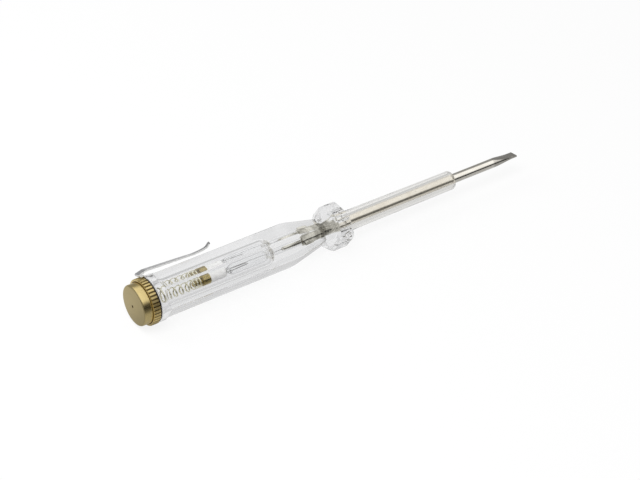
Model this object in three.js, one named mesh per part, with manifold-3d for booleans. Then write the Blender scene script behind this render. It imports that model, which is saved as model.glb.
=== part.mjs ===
// A voltage tester screwdriver. A clear faceted handle holds a contact spring, a resistor and a small
// glow lamp. A brass cap screws onto its rear spigot and clamps a pocket clip, and a slotted steel
// blade in a clear sleeve stands out of its guard.
//
// Millimetres, +Z up. The tool lies along X, with the cap at -X, the blade at +X and the clip on top.
// The origin is under the middle of the tool, level with its lowest point. Places along the tool are
// worked out from the cap's outer face, and the whole is moved to the origin at the end.

import * as THREE from "three";
import { mergeVertices } from "three/addons/utils/BufferGeometryUtils.js";
import Module from "manifold-3d";

const wasm = await Module();
wasm.setup();

// Clearances between pieces.
const clearance = {
  seat: 0.1, // round a piece that is moulded in or pushed in
  face: 0.1, // between the clamped faces of the cap, the clip and the handle
  thread: 0.15, // between the crests and roots of the two threads
  swivel: 0.15, // between the clip's ring and the neck that it turns on
  touch: 0.3, // between the ends of pieces that the contact spring presses together
  clip: 0.3, // between the clip's root bend and the cap's flange
};

// How far a cutting shape runs past what it cuts.
const overrun = 1;

// How many flats go round each kind of round surface.
const sides = { large: 40, bore: 24, small: 16, wire: 8 };

// The screw cap: a plain button behind a knurled flange, hollow and threaded inside.
const cap = {
  buttonRadius: 6.25,
  buttonLength: 3.1,
  edgeRadius: 0.6,
  edgeSteps: 4,
  domeRise: 0.3,
  domeSteps: 3,
  punchRadius: 0.45,
  punchDepth: 0.35,
  flangeRadius: 7.1,
  flangeLength: 2.2,
  knurlTeeth: 40,
  knurlDepth: 0.3,
  toothTopShare: 0.46,
  toothFootShare: 0.74,
  endWall: 1.4,
  reliefLength: 0.9,
};

// The rounded thread that the cap and the spigot share.
const thread = { crestRadius: 5, depth: 0.5, pitch: 1, rowsPerPitch: 8, length: 3.2, leadIn: 0.4 };

// The pocket clip: one steel strip with a ring at its root. The ring and the arm are separate solids.
const clip = {
  thickness: 0.4,
  ringRadius: 6.8,
  width: 3.2,
  tipWidth: 1.3,
  firstBendRadius: 0.4,
  rootRun: 0.7,
  armRootRise: 0.6,
  heelReach: 1.95,
  heelRise: 0.45,
  armLength: 14.1,
  armDrop: 0.66,
  bumpReach: 2.6,
  bumpDrop: 0.1,
  flareReach: 3.9,
  flareRise: 0.4,
  tipReach: 1.6,
  tipRise: 1.2,
  split: 0.3,
  bendSteps: 8,
  curveSteps: 14,
  tipSteps: 4,
};

// How far the clip is turned about the handle from the flat that faces up.
const clipTurn = THREE.MathUtils.degToRad(-30);

// The handle: one clear moulding with a threaded spigot, a round boss, a hexagonal grip whose facets
// run out into the boss, a tapering nose and a faceted guard.
const handle = {
  facets: 6,
  bossRadius: 7,
  bossLength: 3,
  gripFlatRadius: 6,
  gripLength: 42.6,
  runOutRadius: 3,
  runOutEnd: 1,
  runOutSteps: 4,
  noseLength: 12.8,
  noseRoundLength: 3.6,
  noseRoundDrop: 0.42,
  noseSteps: 4,
  neckFlatRadius: 3.75,
  boreRadius: 3.4,
  boreDepth: 44.2,
  boreTaper: 1.4,
};

// The guard at the front of the handle, a band of flats with its corners cut at both ends.
const guard = {
  rearLength: 2.9,
  bandLength: 5,
  bandFlatRadius: 6.4,
  frontLength: 1.4,
  frontFlatRadius: 4.7,
  rearCornerCut: 0.9,
  frontCornerCut: 0.3,
};

// The blade: a round steel shank with a reduced tail, two anchoring wings and a ground tip.
const blade = {
  shankRadius: 1.5,
  tailRadius: 0.95,
  tailLength: 6,
  tailChamfer: 0.25,
  standInBore: 2.4,
  wingLead: 4.2,
  wingLength: 3.4,
  wingSpan: 4.4,
  wingThickness: 1.2,
  standOut: 25.4,
  grindLength: 7.6,
  grindSteps: 7,
  tipFlatLength: 1.7,
  tipThickness: 0.5,
};
const grindCurve = 1.5;
const tipTurn = THREE.MathUtils.degToRad(-11);

// The clear sleeve on the blade, seated in the guard.
const sleeve = {
  baseRadius: 3.2,
  endRadius: 3,
  seatDepth: 4,
  length: 45,
  endRound: 0.7,
  endSteps: 4,
};

// The contact spring between the cap and the resistor. What lies in the bore has side room to its wall.
const spring = {
  sideRoom: 0.9,
  wireRadius: 0.25,
  freeTurns: 8.5,
  closeTurns: 2.25,
  closePitch: 1.05,
  stepsPerTurn: 8,
  wireSides: 5,
};

// The resistor: a ceramic body with a brass cap and nipple behind it and a small cap in front.
const resistor = {
  sideRoom: 0.95,
  bodyStep: 0.15,
  bodyLength: 5.4,
  neckStep: 0.3,
  neckLength: 1.2,
  rearCapLength: 2.5,
  rearCapFloor: 1.1,
  nippleRoom: 0.6,
  nippleLength: 2.5,
  edge: 0.25,
  frontCapRadius: 1.5,
  frontCapLength: 0.5,
};

// The glow lamp: a glass envelope with a flat press at its rear, two electrodes and two leads.
const lamp = {
  sideRoom: 0.75,
  wall: 0.5,
  length: 15,
  pressLength: 1,
  pressStep: 0.85,
  pressThickness: 1.6,
  shoulderLength: 1,
  domeSteps: 5,
  tipRadius: 0.5,
  tipLength: 0.7,
  electrodeRadius: 0.35,
  electrodeLength: 4.6,
  electrodeSpread: 0.8,
  electrodeLean: 0.35,
};

// The lamp's two thin leads. The front one is bent back round the press and runs along the bulb to the
// blade. Its turn is counted about the tool from the top, its bend has room between the resistor and
// the press, and its shares are of its way out from the axis to its track between bulb and bore.
const lead = {
  radius: 0.18,
  steps: 60,
  turn: THREE.MathUtils.degToRad(-112),
  bendRoom: 0.6,
  risingShare: 0.67,
  fallingShare: 0.8,
  shoulderReach: 2,
};

// The first corner lies half a facet from the top, so that a flat faces up.
const halfFacet = Math.PI / handle.facets;
const flatToCorner = 1 / Math.cos(halfFacet);

// Places along the tool, from the cap's outer face to the blade's tip.
const flangeStart = cap.buttonLength;
const flangeEnd = flangeStart + cap.flangeLength;
const ringStart = flangeEnd + clearance.face;
const ringEnd = ringStart + clip.thickness;
const bossStart = ringEnd + clearance.face;
const spigotStart = bossStart - (clip.thickness + clearance.face) - thread.length;
const gripStart = bossStart + handle.bossLength;
const noseStart = gripStart + handle.gripLength;
const neckPlace = noseStart + handle.noseLength;
const bandStart = neckPlace + guard.rearLength;
const bandEnd = bandStart + guard.bandLength;
const guardEnd = bandEnd + guard.frontLength;
const sleeveStart = guardEnd - sleeve.seatDepth;
const sleeveEnd = sleeveStart + sleeve.length;
const tipEnd = sleeveEnd + blade.standOut;
const tipFlatStart = tipEnd - blade.tipFlatLength;
const grindStart = tipFlatStart - blade.grindLength;
const boreEnd = spigotStart + handle.boreDepth;
const shankStart = boreEnd + handle.boreTaper + blade.standInBore + blade.tailLength;
const tailStart = shankStart - blade.tailLength;
const wingStart = shankStart + blade.wingLead;

// The chain in the bore is stacked from the lamp, which stands at the bore's end, back to the cap.
const lampEnd = boreEnd - clearance.touch;
const lampStart = lampEnd - lamp.length;
const frontCapEnd = lampStart - lead.bendRoom;
const bodyEnd = frontCapEnd - resistor.frontCapLength;
const bodyStart = bodyEnd - resistor.bodyLength;
const shoulderPlace = bodyStart - resistor.rearCapLength;
const springEnd = shoulderPlace - clearance.touch;
const springStart = cap.endWall + clearance.touch;
const electrodeStart = lampStart + lamp.pressLength + lamp.wall + lamp.shoulderLength;
const leadEnd = electrodeStart - clearance.face;

// Radii that follow from what a piece turns on or lies in.
const ringHoleRadius = thread.crestRadius + clearance.swivel;
const springRadius = handle.boreRadius - spring.sideRoom;
const nippleRadius = springRadius - 2 * spring.wireRadius - resistor.nippleRoom;
const rearCapRadius = handle.boreRadius - resistor.sideRoom;
const bodyRadius = rearCapRadius - resistor.bodyStep;
const neckRadius = bodyRadius - resistor.neckStep;
const lampRadius = handle.boreRadius - lamp.sideRoom;
const pressWidth = 2 * (lampRadius - lamp.pressStep);

const toolLength = tipEnd;
const axisHeight = cap.flangeRadius;

// Turns a closed geometry into a solid that can be joined and cut.
function solidOf(geometry) {
  const loose = geometry.index ? geometry.toNonIndexed() : geometry.clone();
  loose.deleteAttribute("normal");
  loose.deleteAttribute("uv");
  const welded = mergeVertices(loose);
  const corners = [];
  for (let i = 0; i < welded.index.count; i += 3) {
    const [a, b, c] = [0, 1, 2].map((k) => welded.index.getX(i + k));
    if (a !== b && b !== c && c !== a) corners.push(a, b, c);
  }
  return new wasm.Manifold(
    new wasm.Mesh({
      numProp: 3,
      vertProperties: welded.attributes.position.array,
      triVerts: Uint32Array.from(corners),
    }),
  );
}

// Turns a solid back into a geometry.
function geometryOf(solid) {
  const mesh = solid.getMesh();
  const geometry = new THREE.BufferGeometry();
  geometry.setAttribute("position", new THREE.BufferAttribute(mesh.vertProperties, mesh.numProp));
  geometry.setIndex(new THREE.BufferAttribute(mesh.triVerts, 1));
  geometry.computeVertexNormals();
  return geometry;
}

// A solid turned about the tool's axis from points of [place, radius], which start and end on the axis
// or close on themselves. Its first corner lies at the given turn from the top.
function turned(outline, count, turn = 0) {
  const points = outline.map(([place, radius]) => new THREE.Vector2(radius, place));
  return solidOf(new THREE.LatheGeometry(points, count, turn).rotateZ(-Math.PI / 2));
}

// A plain round bar between two places.
function bar(from, to, radius, count) {
  const outline = [
    [from, 0],
    [from, radius],
    [to, radius],
    [to, 0],
  ];
  return turned(outline, count);
}

// Points of [place, radius] on an arc about a centre, both ends included. Angle 0 points to +X.
function arc(centre, radius, from, to, steps) {
  return Array.from({ length: steps + 1 }, (_, i) => {
    const angle = from + ((to - from) * i) / steps;
    return [centre[0] + radius * Math.cos(angle), centre[1] + radius * Math.sin(angle)];
  });
}

// A block, given by its middle and its sizes along X, Y and Z.
function block(middle, size) {
  return solidOf(new THREE.BoxGeometry(...size).translate(...middle));
}

// A closed skin through rings of equally many points, each going right-handed about the way the rings
// follow each other, with a fan over each end.
function skin(rings) {
  const count = rings[0].length;
  const middleOf = (ring) =>
    ring.reduce((sum, point) => sum.add(point), new THREE.Vector3()).divideScalar(count);
  const points = [...rings.flat(), middleOf(rings[0]), middleOf(rings.at(-1))];
  const [rearMiddle, frontMiddle] = [points.length - 2, points.length - 1];
  const lastRing = (rings.length - 1) * count;
  const corners = [];
  for (let side = 0; side < count; side++) {
    const next = (side + 1) % count;
    for (let ring = 0; ring < lastRing; ring += count) {
      const [a, b] = [ring + side, ring + next];
      corners.push(a, b, b + count, a, b + count, a + count);
    }
    corners.push(rearMiddle, next, side, frontMiddle, lastRing + side, lastRing + next);
  }
  return new THREE.BufferGeometry().setFromPoints(points).setIndex(corners);
}

// A threaded rod along the axis. Its surface follows one helix through the origin, so a rod and a
// wider one that is cut out of its nut are always in step.
function threadedRod(from, to, crestRadius) {
  const rows = Math.ceil(((to - from) / thread.pitch) * thread.rowsPerPitch);
  const rings = Array.from({ length: rows + 1 }, (_, row) => {
    const place = from + ((to - from) * row) / rows;
    return Array.from({ length: sides.bore }, (_, side) => {
      const turnShare = side / sides.bore;
      const phase = 2 * Math.PI * (place / thread.pitch - turnShare);
      const radius = crestRadius - (thread.depth * (1 - Math.cos(phase))) / 2;
      const angle = 2 * Math.PI * turnShare;
      return new THREE.Vector3(place, radius * Math.cos(angle), radius * Math.sin(angle));
    });
  });
  return solidOf(skin(rings));
}

// The knurled flange, with a tooth at the bottom of the tool.
function knurledFlange() {
  const step = (2 * Math.PI) / cap.knurlTeeth;
  const footRadius = cap.flangeRadius - cap.knurlDepth;
  const tooth = [
    [-cap.toothFootShare / 2, footRadius],
    [-cap.toothTopShare / 2, cap.flangeRadius],
    [cap.toothTopShare / 2, cap.flangeRadius],
    [cap.toothFootShare / 2, footRadius],
  ];
  const corners = Array.from({ length: cap.knurlTeeth }, (_, count) =>
    tooth.map(([share, radius]) => {
      const angle = (count + share) * step;
      return new THREE.Vector2(radius * Math.cos(angle), radius * Math.sin(angle));
    }),
  );
  const outline = new THREE.Shape(corners.flat());
  const disc = new THREE.ExtrudeGeometry(outline, { depth: cap.flangeLength, bevelEnabled: false });
  return solidOf(disc.rotateY(Math.PI / 2).translate(flangeStart, 0, 0));
}

// The cap: a domed button with a rounded edge and a punch mark, the flange, and the threaded hollow.
function screwCap() {
  const faceRadius = cap.buttonRadius - cap.edgeRadius;
  const dome = Array.from({ length: cap.domeSteps + 1 }, (_, i) => {
    const share = i / cap.domeSteps;
    return [cap.domeRise * share ** 2, faceRadius * share];
  });
  const edge = arc(
    [cap.domeRise + cap.edgeRadius, faceRadius],
    cap.edgeRadius,
    Math.PI,
    Math.PI / 2,
    cap.edgeSteps,
  );
  const button = turned(
    [...dome, ...edge.slice(1), [flangeEnd, cap.buttonRadius], [flangeEnd, 0]],
    sides.large,
  );
  const punch = turned(
    [
      [-overrun, 0],
      [-overrun, cap.punchRadius],
      [0, cap.punchRadius],
      [cap.punchDepth, 0],
    ],
    sides.wire,
  );
  const hollowRadius = thread.crestRadius + clearance.thread;
  const relief = bar(cap.endWall, cap.endWall + cap.reliefLength, hollowRadius, sides.bore);
  const nut = threadedRod(cap.endWall + cap.reliefLength / 2, flangeEnd + overrun, hollowRadius);
  return button.add(knurledFlange()).subtract(punch).subtract(relief).subtract(nut);
}

// The spigot: a threaded end with a tapered lead-in, and the plain neck for the clip's ring.
function spigot() {
  const threadEnd = spigotStart + thread.length;
  const rootRadius = thread.crestRadius - thread.depth;
  const rod = threadedRod(spigotStart, threadEnd, thread.crestRadius);
  const envelope = turned(
    [
      [spigotStart, 0],
      [spigotStart, rootRadius],
      [spigotStart + thread.leadIn, thread.crestRadius],
      [threadEnd, thread.crestRadius],
      [threadEnd, 0],
    ],
    sides.large,
  );
  const neck = bar(threadEnd - thread.leadIn, bossStart + overrun, rootRadius, sides.bore);
  const seat = bar(threadEnd, bossStart + overrun, thread.crestRadius, sides.bore);
  return rod.intersect(envelope).add(neck).add(seat);
}

// The faceted body from the boss to the guard's front, as [place, distance to a flat].
function bodyFlats() {
  const rise = handle.bossRadius + overrun - handle.gripFlatRadius;
  const runOut = Array.from({ length: handle.runOutSteps + 1 }, (_, i) => {
    const share = 1 - i / handle.runOutSteps;
    const reach = Math.sqrt(handle.runOutRadius ** 2 - (handle.runOutRadius - rise) ** 2);
    const drop = Math.sqrt(handle.runOutRadius ** 2 - (reach * share) ** 2);
    const place = gripStart + handle.runOutEnd - reach * share;
    return [place, handle.gripFlatRadius + handle.runOutRadius - drop];
  });
  const noseRound = Array.from({ length: handle.noseSteps + 1 }, (_, i) => {
    const share = i / handle.noseSteps;
    const drop = handle.noseRoundDrop * share ** 2;
    return [noseStart + handle.noseRoundLength * share, handle.gripFlatRadius - drop];
  });
  return [
    [bossStart, handle.bossRadius + overrun],
    ...runOut,
    ...noseRound,
    [neckPlace, handle.neckFlatRadius],
    [bandStart, guard.bandFlatRadius],
    [bandEnd, guard.bandFlatRadius],
    [guardEnd, guard.frontFlatRadius],
  ];
}

// The planes that cut the guard's corners, as [place, distance to a plane].
function cornerCuts() {
  const clear = handle.bossRadius + overrun;
  const bandCorner = guard.bandFlatRadius * flatToCorner;
  return [
    [bossStart - overrun, clear],
    [neckPlace, clear],
    [neckPlace, handle.neckFlatRadius * flatToCorner],
    [bandStart + guard.rearCornerCut, bandCorner],
    [bandEnd - guard.frontCornerCut, bandCorner],
    [guardEnd + overrun, guard.frontFlatRadius],
  ];
}

// A faceted solid through [place, distance to a flat], with its first corner at the given turn.
function faceted(flats, turn) {
  const corners = flats.map(([place, distance]) => [place, distance * flatToCorner]);
  return turned([[flats[0][0], 0], ...corners, [flats.at(-1)[0], 0]], handle.facets, turn);
}

// The blade's own shape, or with a gap the hollow that it leaves in the handle.
function bladeBody(gap) {
  const shankRadius = blade.shankRadius + gap;
  const tailRadius = blade.tailRadius + gap;
  const chamfer = gap ? 0 : blade.tailChamfer;
  const shank = turned(
    [
      [tailStart - gap, 0],
      [tailStart - gap, tailRadius - chamfer],
      [tailStart - gap + chamfer, tailRadius],
      [shankStart - gap, tailRadius],
      [shankStart - gap, shankRadius],
      [tipEnd, shankRadius],
      [tipEnd, 0],
    ],
    sides.bore,
  );
  const wings = block(
    [wingStart + blade.wingLength / 2, 0, 0],
    [blade.wingLength + 2 * gap, blade.wingSpan + 2 * gap, blade.wingThickness + 2 * gap],
  );
  return shank.add(wings);
}

// The handle: the body cut to its facets, the spigot, and the hollows for the chain and the blade.
function handleSolid() {
  const envelope = bar(bossStart, guardEnd + overrun, handle.bossRadius, sides.large);
  const body = faceted(bodyFlats(), halfFacet)
    .intersect(faceted(cornerCuts(), 0))
    .intersect(envelope);
  const bore = turned(
    [
      [spigotStart - overrun, 0],
      [spigotStart - overrun, handle.boreRadius],
      [boreEnd, handle.boreRadius],
      [boreEnd + handle.boreTaper, blade.tailRadius + clearance.seat],
      [shankStart, blade.tailRadius + clearance.seat],
      [shankStart, 0],
    ],
    sides.bore,
  );
  const sleeveSeat = bar(
    sleeveStart - clearance.seat,
    guardEnd + overrun,
    sleeve.baseRadius + clearance.seat,
    sides.bore,
  );
  return body
    .add(spigot())
    .subtract(bore)
    .subtract(bladeBody(clearance.seat))
    .subtract(sleeveSeat);
}

// The blade with its tip ground from both sides to a thin parallel end.
function bladeSolid() {
  const half = blade.tipThickness / 2;
  const grind = Array.from({ length: blade.grindSteps + 1 }, (_, i) => {
    const share = i / blade.grindSteps;
    const height = half + (blade.shankRadius - half) * (1 - share) ** grindCurve;
    return [grindStart + blade.grindLength * share, height];
  });
  const clear = blade.wingSpan;
  const upper = [
    [tailStart - overrun, clear],
    [grindStart, clear],
    ...grind,
    [tipEnd + overrun, half],
  ];
  const lower = upper.map(([place, height]) => [place, -height]).reverse();
  const outline = new THREE.Shape([...upper, ...lower].map((point) => new THREE.Vector2(...point)));
  const stock = new THREE.ExtrudeGeometry(outline, { depth: 2 * clear, bevelEnabled: false });
  stock.translate(0, 0, -clear).rotateX(Math.PI / 2 + tipTurn);
  return bladeBody(0).intersect(solidOf(stock));
}

// The sleeve: a tapering tube with a rounded end.
function sleeveSolid() {
  const innerRadius = blade.shankRadius + clearance.seat;
  const round = arc(
    [sleeveEnd - sleeve.endRound, sleeve.endRadius - sleeve.endRound],
    sleeve.endRound,
    Math.PI / 2,
    0,
    sleeve.endSteps,
  );
  const outline = [
    [sleeveStart, innerRadius],
    [sleeveStart, sleeve.baseRadius],
    ...round,
    [sleeveEnd, innerRadius],
    [sleeveStart, innerRadius],
  ];
  return turned(outline, sides.bore);
}

// The middle line of the clip's strip from the ring to the end of the root bend, as [place, height].
function rootLine() {
  const ringPlace = ringStart + clip.thickness / 2;
  const runHeight = cap.flangeRadius + clearance.clip + clip.thickness / 2;
  const bend = clip.firstBendRadius;
  const turnPlace = ringPlace - bend - clip.rootRun;
  const first = arc([ringPlace - bend, runHeight - bend], bend, 0, Math.PI / 2, clip.bendSteps / 2);
  const rootRadius = clip.armRootRise / 2;
  const second = arc(
    [turnPlace, runHeight + rootRadius],
    rootRadius,
    (3 * Math.PI) / 2,
    Math.PI / 2,
    clip.bendSteps,
  );
  return [[ringPlace, (ringHoleRadius + clip.ringRadius) / 2], ...first, ...second];
}

// The middle line of the arm: up to the heel, a straight run, the bump that grips a pocket and the
// flared tip.
function armLine() {
  const root = new THREE.Vector2(...rootLine().at(-1));
  const step = (from, reach, rise) => new THREE.Vector2(from.x + reach, from.y + rise);
  const heel = step(root, clip.heelReach, clip.heelRise);
  const start = root.clone().lerp(heel, clip.split / clip.heelReach);
  const armEnd = step(heel, clip.armLength, -clip.armDrop);
  const bump = step(armEnd, clip.bumpReach, -clip.bumpDrop);
  const flare = step(bump, clip.flareReach, clip.flareRise);
  const tip = step(flare, clip.tipReach, clip.tipRise);
  const curved = new THREE.SplineCurve([armEnd, bump, flare, tip]).getPoints(clip.curveSteps);
  return [start, heel, ...curved].map((point) => point.toArray());
}

// A strip of the clip's section along a middle line of [place, height].
function strip(line) {
  const middle = line.map((point) => new THREE.Vector2(...point));
  const half = clip.thickness / 2;
  const offset = (side) =>
    middle.map((point, i) => {
      const before = middle[Math.max(i - 1, 0)];
      const after = middle[Math.min(i + 1, middle.length - 1)];
      const along = after.clone().sub(before).normalize();
      const across = new THREE.Vector2(-along.y, along.x);
      return point.clone().addScaledVector(across, side * half);
    });
  const outline = new THREE.Shape([...offset(-1), ...offset(1).reverse()]);
  const bent = new THREE.ExtrudeGeometry(outline, { depth: clip.width, bevelEnabled: false });
  return solidOf(bent.translate(0, 0, -clip.width / 2).rotateX(Math.PI / 2));
}

// The ring with the strip's root bend.
function clipRing() {
  const hole = bar(ringStart - overrun, ringEnd + overrun, ringHoleRadius, sides.bore);
  return bar(ringStart, ringEnd, clip.ringRadius, sides.large).subtract(hole).add(strip(rootLine()));
}

// The arm, which narrows from the ring's tab to a round tip.
function clipArm() {
  const line = armLine();
  const [rearPlace] = line[0];
  const [tipPlace] = line.at(-1);
  const half = clip.width / 2;
  const tipRadius = clip.tipWidth / 2;
  const tipCentre = tipPlace - tipRadius;
  const plan = new THREE.Shape();
  plan.moveTo(rearPlace - overrun, -half);
  plan.lineTo(tipCentre, -tipRadius);
  plan.absarc(tipCentre, 0, tipRadius, -Math.PI / 2, Math.PI / 2);
  plan.lineTo(rearPlace - overrun, half);
  const height = 2 * cap.flangeRadius;
  const cutter = new THREE.ExtrudeGeometry(plan, {
    depth: height,
    bevelEnabled: false,
    curveSegments: clip.tipSteps,
  });
  return strip(line).intersect(solidOf(cutter));
}

// The spring's middle line: a straight end, the free turns, the close turns round the nipple and a
// second straight end.
function springLine() {
  const radius = springRadius - spring.wireRadius;
  const stub = 2 * spring.wireRadius;
  const closeLength = spring.closeTurns * spring.closePitch;
  const freeLength = springEnd - springStart - 2 * stub - closeLength;
  const turns = spring.freeTurns + spring.closeTurns;
  const steps = turns * spring.stepsPerTurn;
  const pointAt = (place, turn) => {
    const angle = 2 * Math.PI * turn;
    return new THREE.Vector3(place, radius * Math.cos(angle), radius * Math.sin(angle));
  };
  const points = [pointAt(springStart, 0)];
  for (let step = 0; step <= steps; step++) {
    const turn = step / spring.stepsPerTurn;
    const free = Math.min(turn, spring.freeTurns) * (freeLength / spring.freeTurns);
    const close = Math.max(turn - spring.freeTurns, 0) * spring.closePitch;
    points.push(pointAt(springStart + stub + free + close, turn));
  }
  points.push(pointAt(springEnd, turns));
  return points;
}

// A round wire through points, as a skin of rings.
function wire(points, radius, count) {
  const across = new THREE.Vector3(0, 1, 0);
  const rings = points.map((point, i) => {
    const before = points[Math.max(i - 1, 0)];
    const after = points[Math.min(i + 1, points.length - 1)];
    const along = after.clone().sub(before).normalize();
    across.addScaledVector(along, -across.dot(along)).normalize();
    const up = along.clone().cross(across);
    return Array.from({ length: count }, (_, k) => {
      const angle = (2 * Math.PI * k) / count;
      const outward = across.clone().multiplyScalar(radius * Math.cos(angle));
      return outward.addScaledVector(up, radius * Math.sin(angle)).add(point);
    });
  });
  return skin(rings);
}

// The least gap between the wire and its own neighbouring turns, measured on points half a turn or
// more apart.
function leastGap(points) {
  const apart = spring.stepsPerTurn / 2;
  let least = Infinity;
  points.forEach((point, i) => {
    for (const other of points.slice(i + apart)) least = Math.min(least, point.distanceTo(other));
  });
  return least - 2 * spring.wireRadius;
}

// The rear cap of the resistor: a nipple for the spring, a shoulder and a cup for the ceramic.
function resistorRearCap() {
  const cupRadius = neckRadius + clearance.seat;
  const cupFloor = shoulderPlace + resistor.rearCapFloor;
  const nippleStart = shoulderPlace - resistor.nippleLength;
  return turned(
    [
      [nippleStart, 0],
      [nippleStart, nippleRadius - resistor.edge],
      [nippleStart + resistor.edge, nippleRadius],
      [shoulderPlace, nippleRadius],
      [shoulderPlace, rearCapRadius - resistor.edge],
      [shoulderPlace + resistor.edge, rearCapRadius],
      [bodyStart - clearance.face, rearCapRadius],
      [bodyStart - clearance.face, cupRadius],
      [cupFloor, cupRadius],
      [cupFloor, 0],
    ],
    sides.bore,
  );
}

// The ceramic body, with a neck that fits the rear cap's cup.
function resistorBody() {
  return turned(
    [
      [bodyStart - resistor.neckLength, 0],
      [bodyStart - resistor.neckLength, neckRadius],
      [bodyStart, neckRadius],
      [bodyStart, bodyRadius],
      [bodyEnd - resistor.edge, bodyRadius],
      [bodyEnd, bodyRadius - resistor.edge],
      [bodyEnd, 0],
    ],
    sides.bore,
  );
}

// The small cap on the front of the ceramic.
function resistorFrontCap() {
  return bar(bodyEnd + clearance.face, frontCapEnd, resistor.frontCapRadius, sides.small);
}

// Half an outline of the lamp's round part, drawn in by a depth from the outer surface.
function bulbOutline(depth) {
  const radius = lampRadius - depth;
  const rear = lampStart + lamp.pressLength + depth;
  const domeCentre = lampEnd - lamp.tipLength - lampRadius;
  const dome = arc([domeCentre, 0], radius, Math.PI / 2, 0, lamp.domeSteps);
  return [
    [rear, 0],
    [rear, lamp.pressThickness / 2],
    [rear + lamp.shoulderLength, radius],
    ...dome.slice(0, -1),
    [dome.at(-1)[0], 0],
  ];
}

// The glass envelope: a bulb with a sealed-off tip in front and a flat press with two lead holes.
function lampGlass() {
  const tip = bar(lampEnd - lamp.tipLength - lamp.wall, lampEnd, lamp.tipRadius, sides.wire);
  const pressStart = lampStart + clearance.face;
  const pressEnd = lampStart + lamp.pressLength + lamp.wall;
  const press = block(
    [(pressStart + pressEnd) / 2, 0, 0],
    [pressEnd - pressStart, pressWidth, lamp.pressThickness],
  );
  let glass = turned(bulbOutline(0), sides.bore).add(tip).add(press);
  glass = glass.subtract(turned(bulbOutline(lamp.wall), sides.bore));
  for (const side of [-1, 1]) {
    const hole = bar(lampStart - overrun, pressEnd + overrun, lead.radius + clearance.seat, sides.wire);
    glass = glass.subtract(hole.translate(0, side * lamp.electrodeSpread, 0));
  }
  return glass;
}

// One electrode, leaning a little towards the other.
function electrode(side) {
  const rod = new THREE.CylinderGeometry(
    lamp.electrodeRadius,
    lamp.electrodeRadius,
    lamp.electrodeLength,
    sides.wire,
  );
  const lean = -side * Math.atan(lamp.electrodeLean / lamp.electrodeLength);
  rod.rotateZ(-Math.PI / 2).translate(lamp.electrodeLength / 2, 0, 0).rotateZ(lean);
  return rod.translate(electrodeStart, side * lamp.electrodeSpread, 0);
}

// A lead along a smooth line through points.
function leadAlong(points, steps) {
  const section = new THREE.Shape().absarc(0, 0, lead.radius, 0, 2 * Math.PI);
  const path = new THREE.CatmullRomCurve3(points, false, "centripetal");
  return new THREE.ExtrudeGeometry(section, { steps, extrudePath: path, curveSegments: sides.wire / 2 });
}

// The lead from the rear electrode to the resistor's front cap.
function rearLead() {
  const places = [frontCapEnd + clearance.face, lampStart + lamp.pressLength, leadEnd];
  const points = places.map((place) => new THREE.Vector3(place, -lamp.electrodeSpread, 0));
  return leadAlong(points, places.length);
}

// The lead from the front electrode, bent back round the press, along the bulb and on to the blade.
function frontLead() {
  const trackRadius = (lampRadius + handle.boreRadius) / 2;
  const track = (place, share) => {
    const radius = trackRadius * share;
    return new THREE.Vector3(place, -radius * Math.sin(lead.turn), radius * Math.cos(lead.turn));
  };
  const bendPlace = lampStart - lead.bendRoom / 2;
  const frontBend = boreEnd + handle.boreTaper / 2;
  const points = [
    new THREE.Vector3(leadEnd, lamp.electrodeSpread, 0),
    new THREE.Vector3(lampStart + lamp.pressLength / 2, lamp.electrodeSpread, 0),
    new THREE.Vector3(lampStart, lamp.electrodeSpread, 0),
    track(bendPlace, lead.risingShare),
    track(lampStart + lamp.pressLength / 2, 1),
    track(lampStart + lead.shoulderReach, 1),
    track((lampStart + lampEnd) / 2, 1),
    track(lampEnd - lampRadius, 1),
    track(lampEnd - lamp.tipLength, lead.fallingShare),
    track(frontBend, 0),
    track(tailStart - clearance.touch, 0),
  ];
  return leadAlong(points, lead.steps);
}

// Finishes, by colour, roughness and metalness.
const finishes = {
  clear: { color: 0xf4f6f5, roughness: 0.06, metalness: 0, transparent: true, opacity: 0.35 },
  sleeve: { color: 0xf1ede2, roughness: 0.12, metalness: 0, transparent: true, opacity: 0.4 },
  glass: { color: 0xf6f8f8, roughness: 0.03, metalness: 0, transparent: true, opacity: 0.3 },
  brass: { color: 0xc2a95c, roughness: 0.34, metalness: 1 },
  nickel: { color: 0xc9c5b8, roughness: 0.2, metalness: 1 },
  springSteel: { color: 0xc4c6c8, roughness: 0.25, metalness: 1 },
  springWire: { color: 0xb9a66f, roughness: 0.3, metalness: 1 },
  ceramic: { color: 0xf2f1ec, roughness: 0.5, metalness: 0 },
  electrode: { color: 0x6f6f6d, roughness: 0.45, metalness: 1 },
  tinned: { color: 0x9d9c98, roughness: 0.35, metalness: 1 },
};

const tool = new THREE.Group();
tool.position.set(-toolLength / 2, 0, axisHeight);
const turnedClip = new THREE.Group();
turnedClip.rotation.x = clipTurn;
tool.add(turnedClip);

// Adds a named piece with its own finish to a group.
function addPiece(name, shape, finish, group = tool) {
  const geometry = shape.isBufferGeometry ? shape : geometryOf(shape);
  const mesh = new THREE.Mesh(geometry, new THREE.MeshStandardMaterial(finish));
  mesh.name = name;
  group.add(mesh);
}

const coils = springLine();
console.log(`contact spring: least gap to itself ${leastGap(coils).toFixed(2)} mm`);
console.log(`tool length ${toolLength.toFixed(2)} mm, axis height ${axisHeight.toFixed(2)} mm`);

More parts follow.
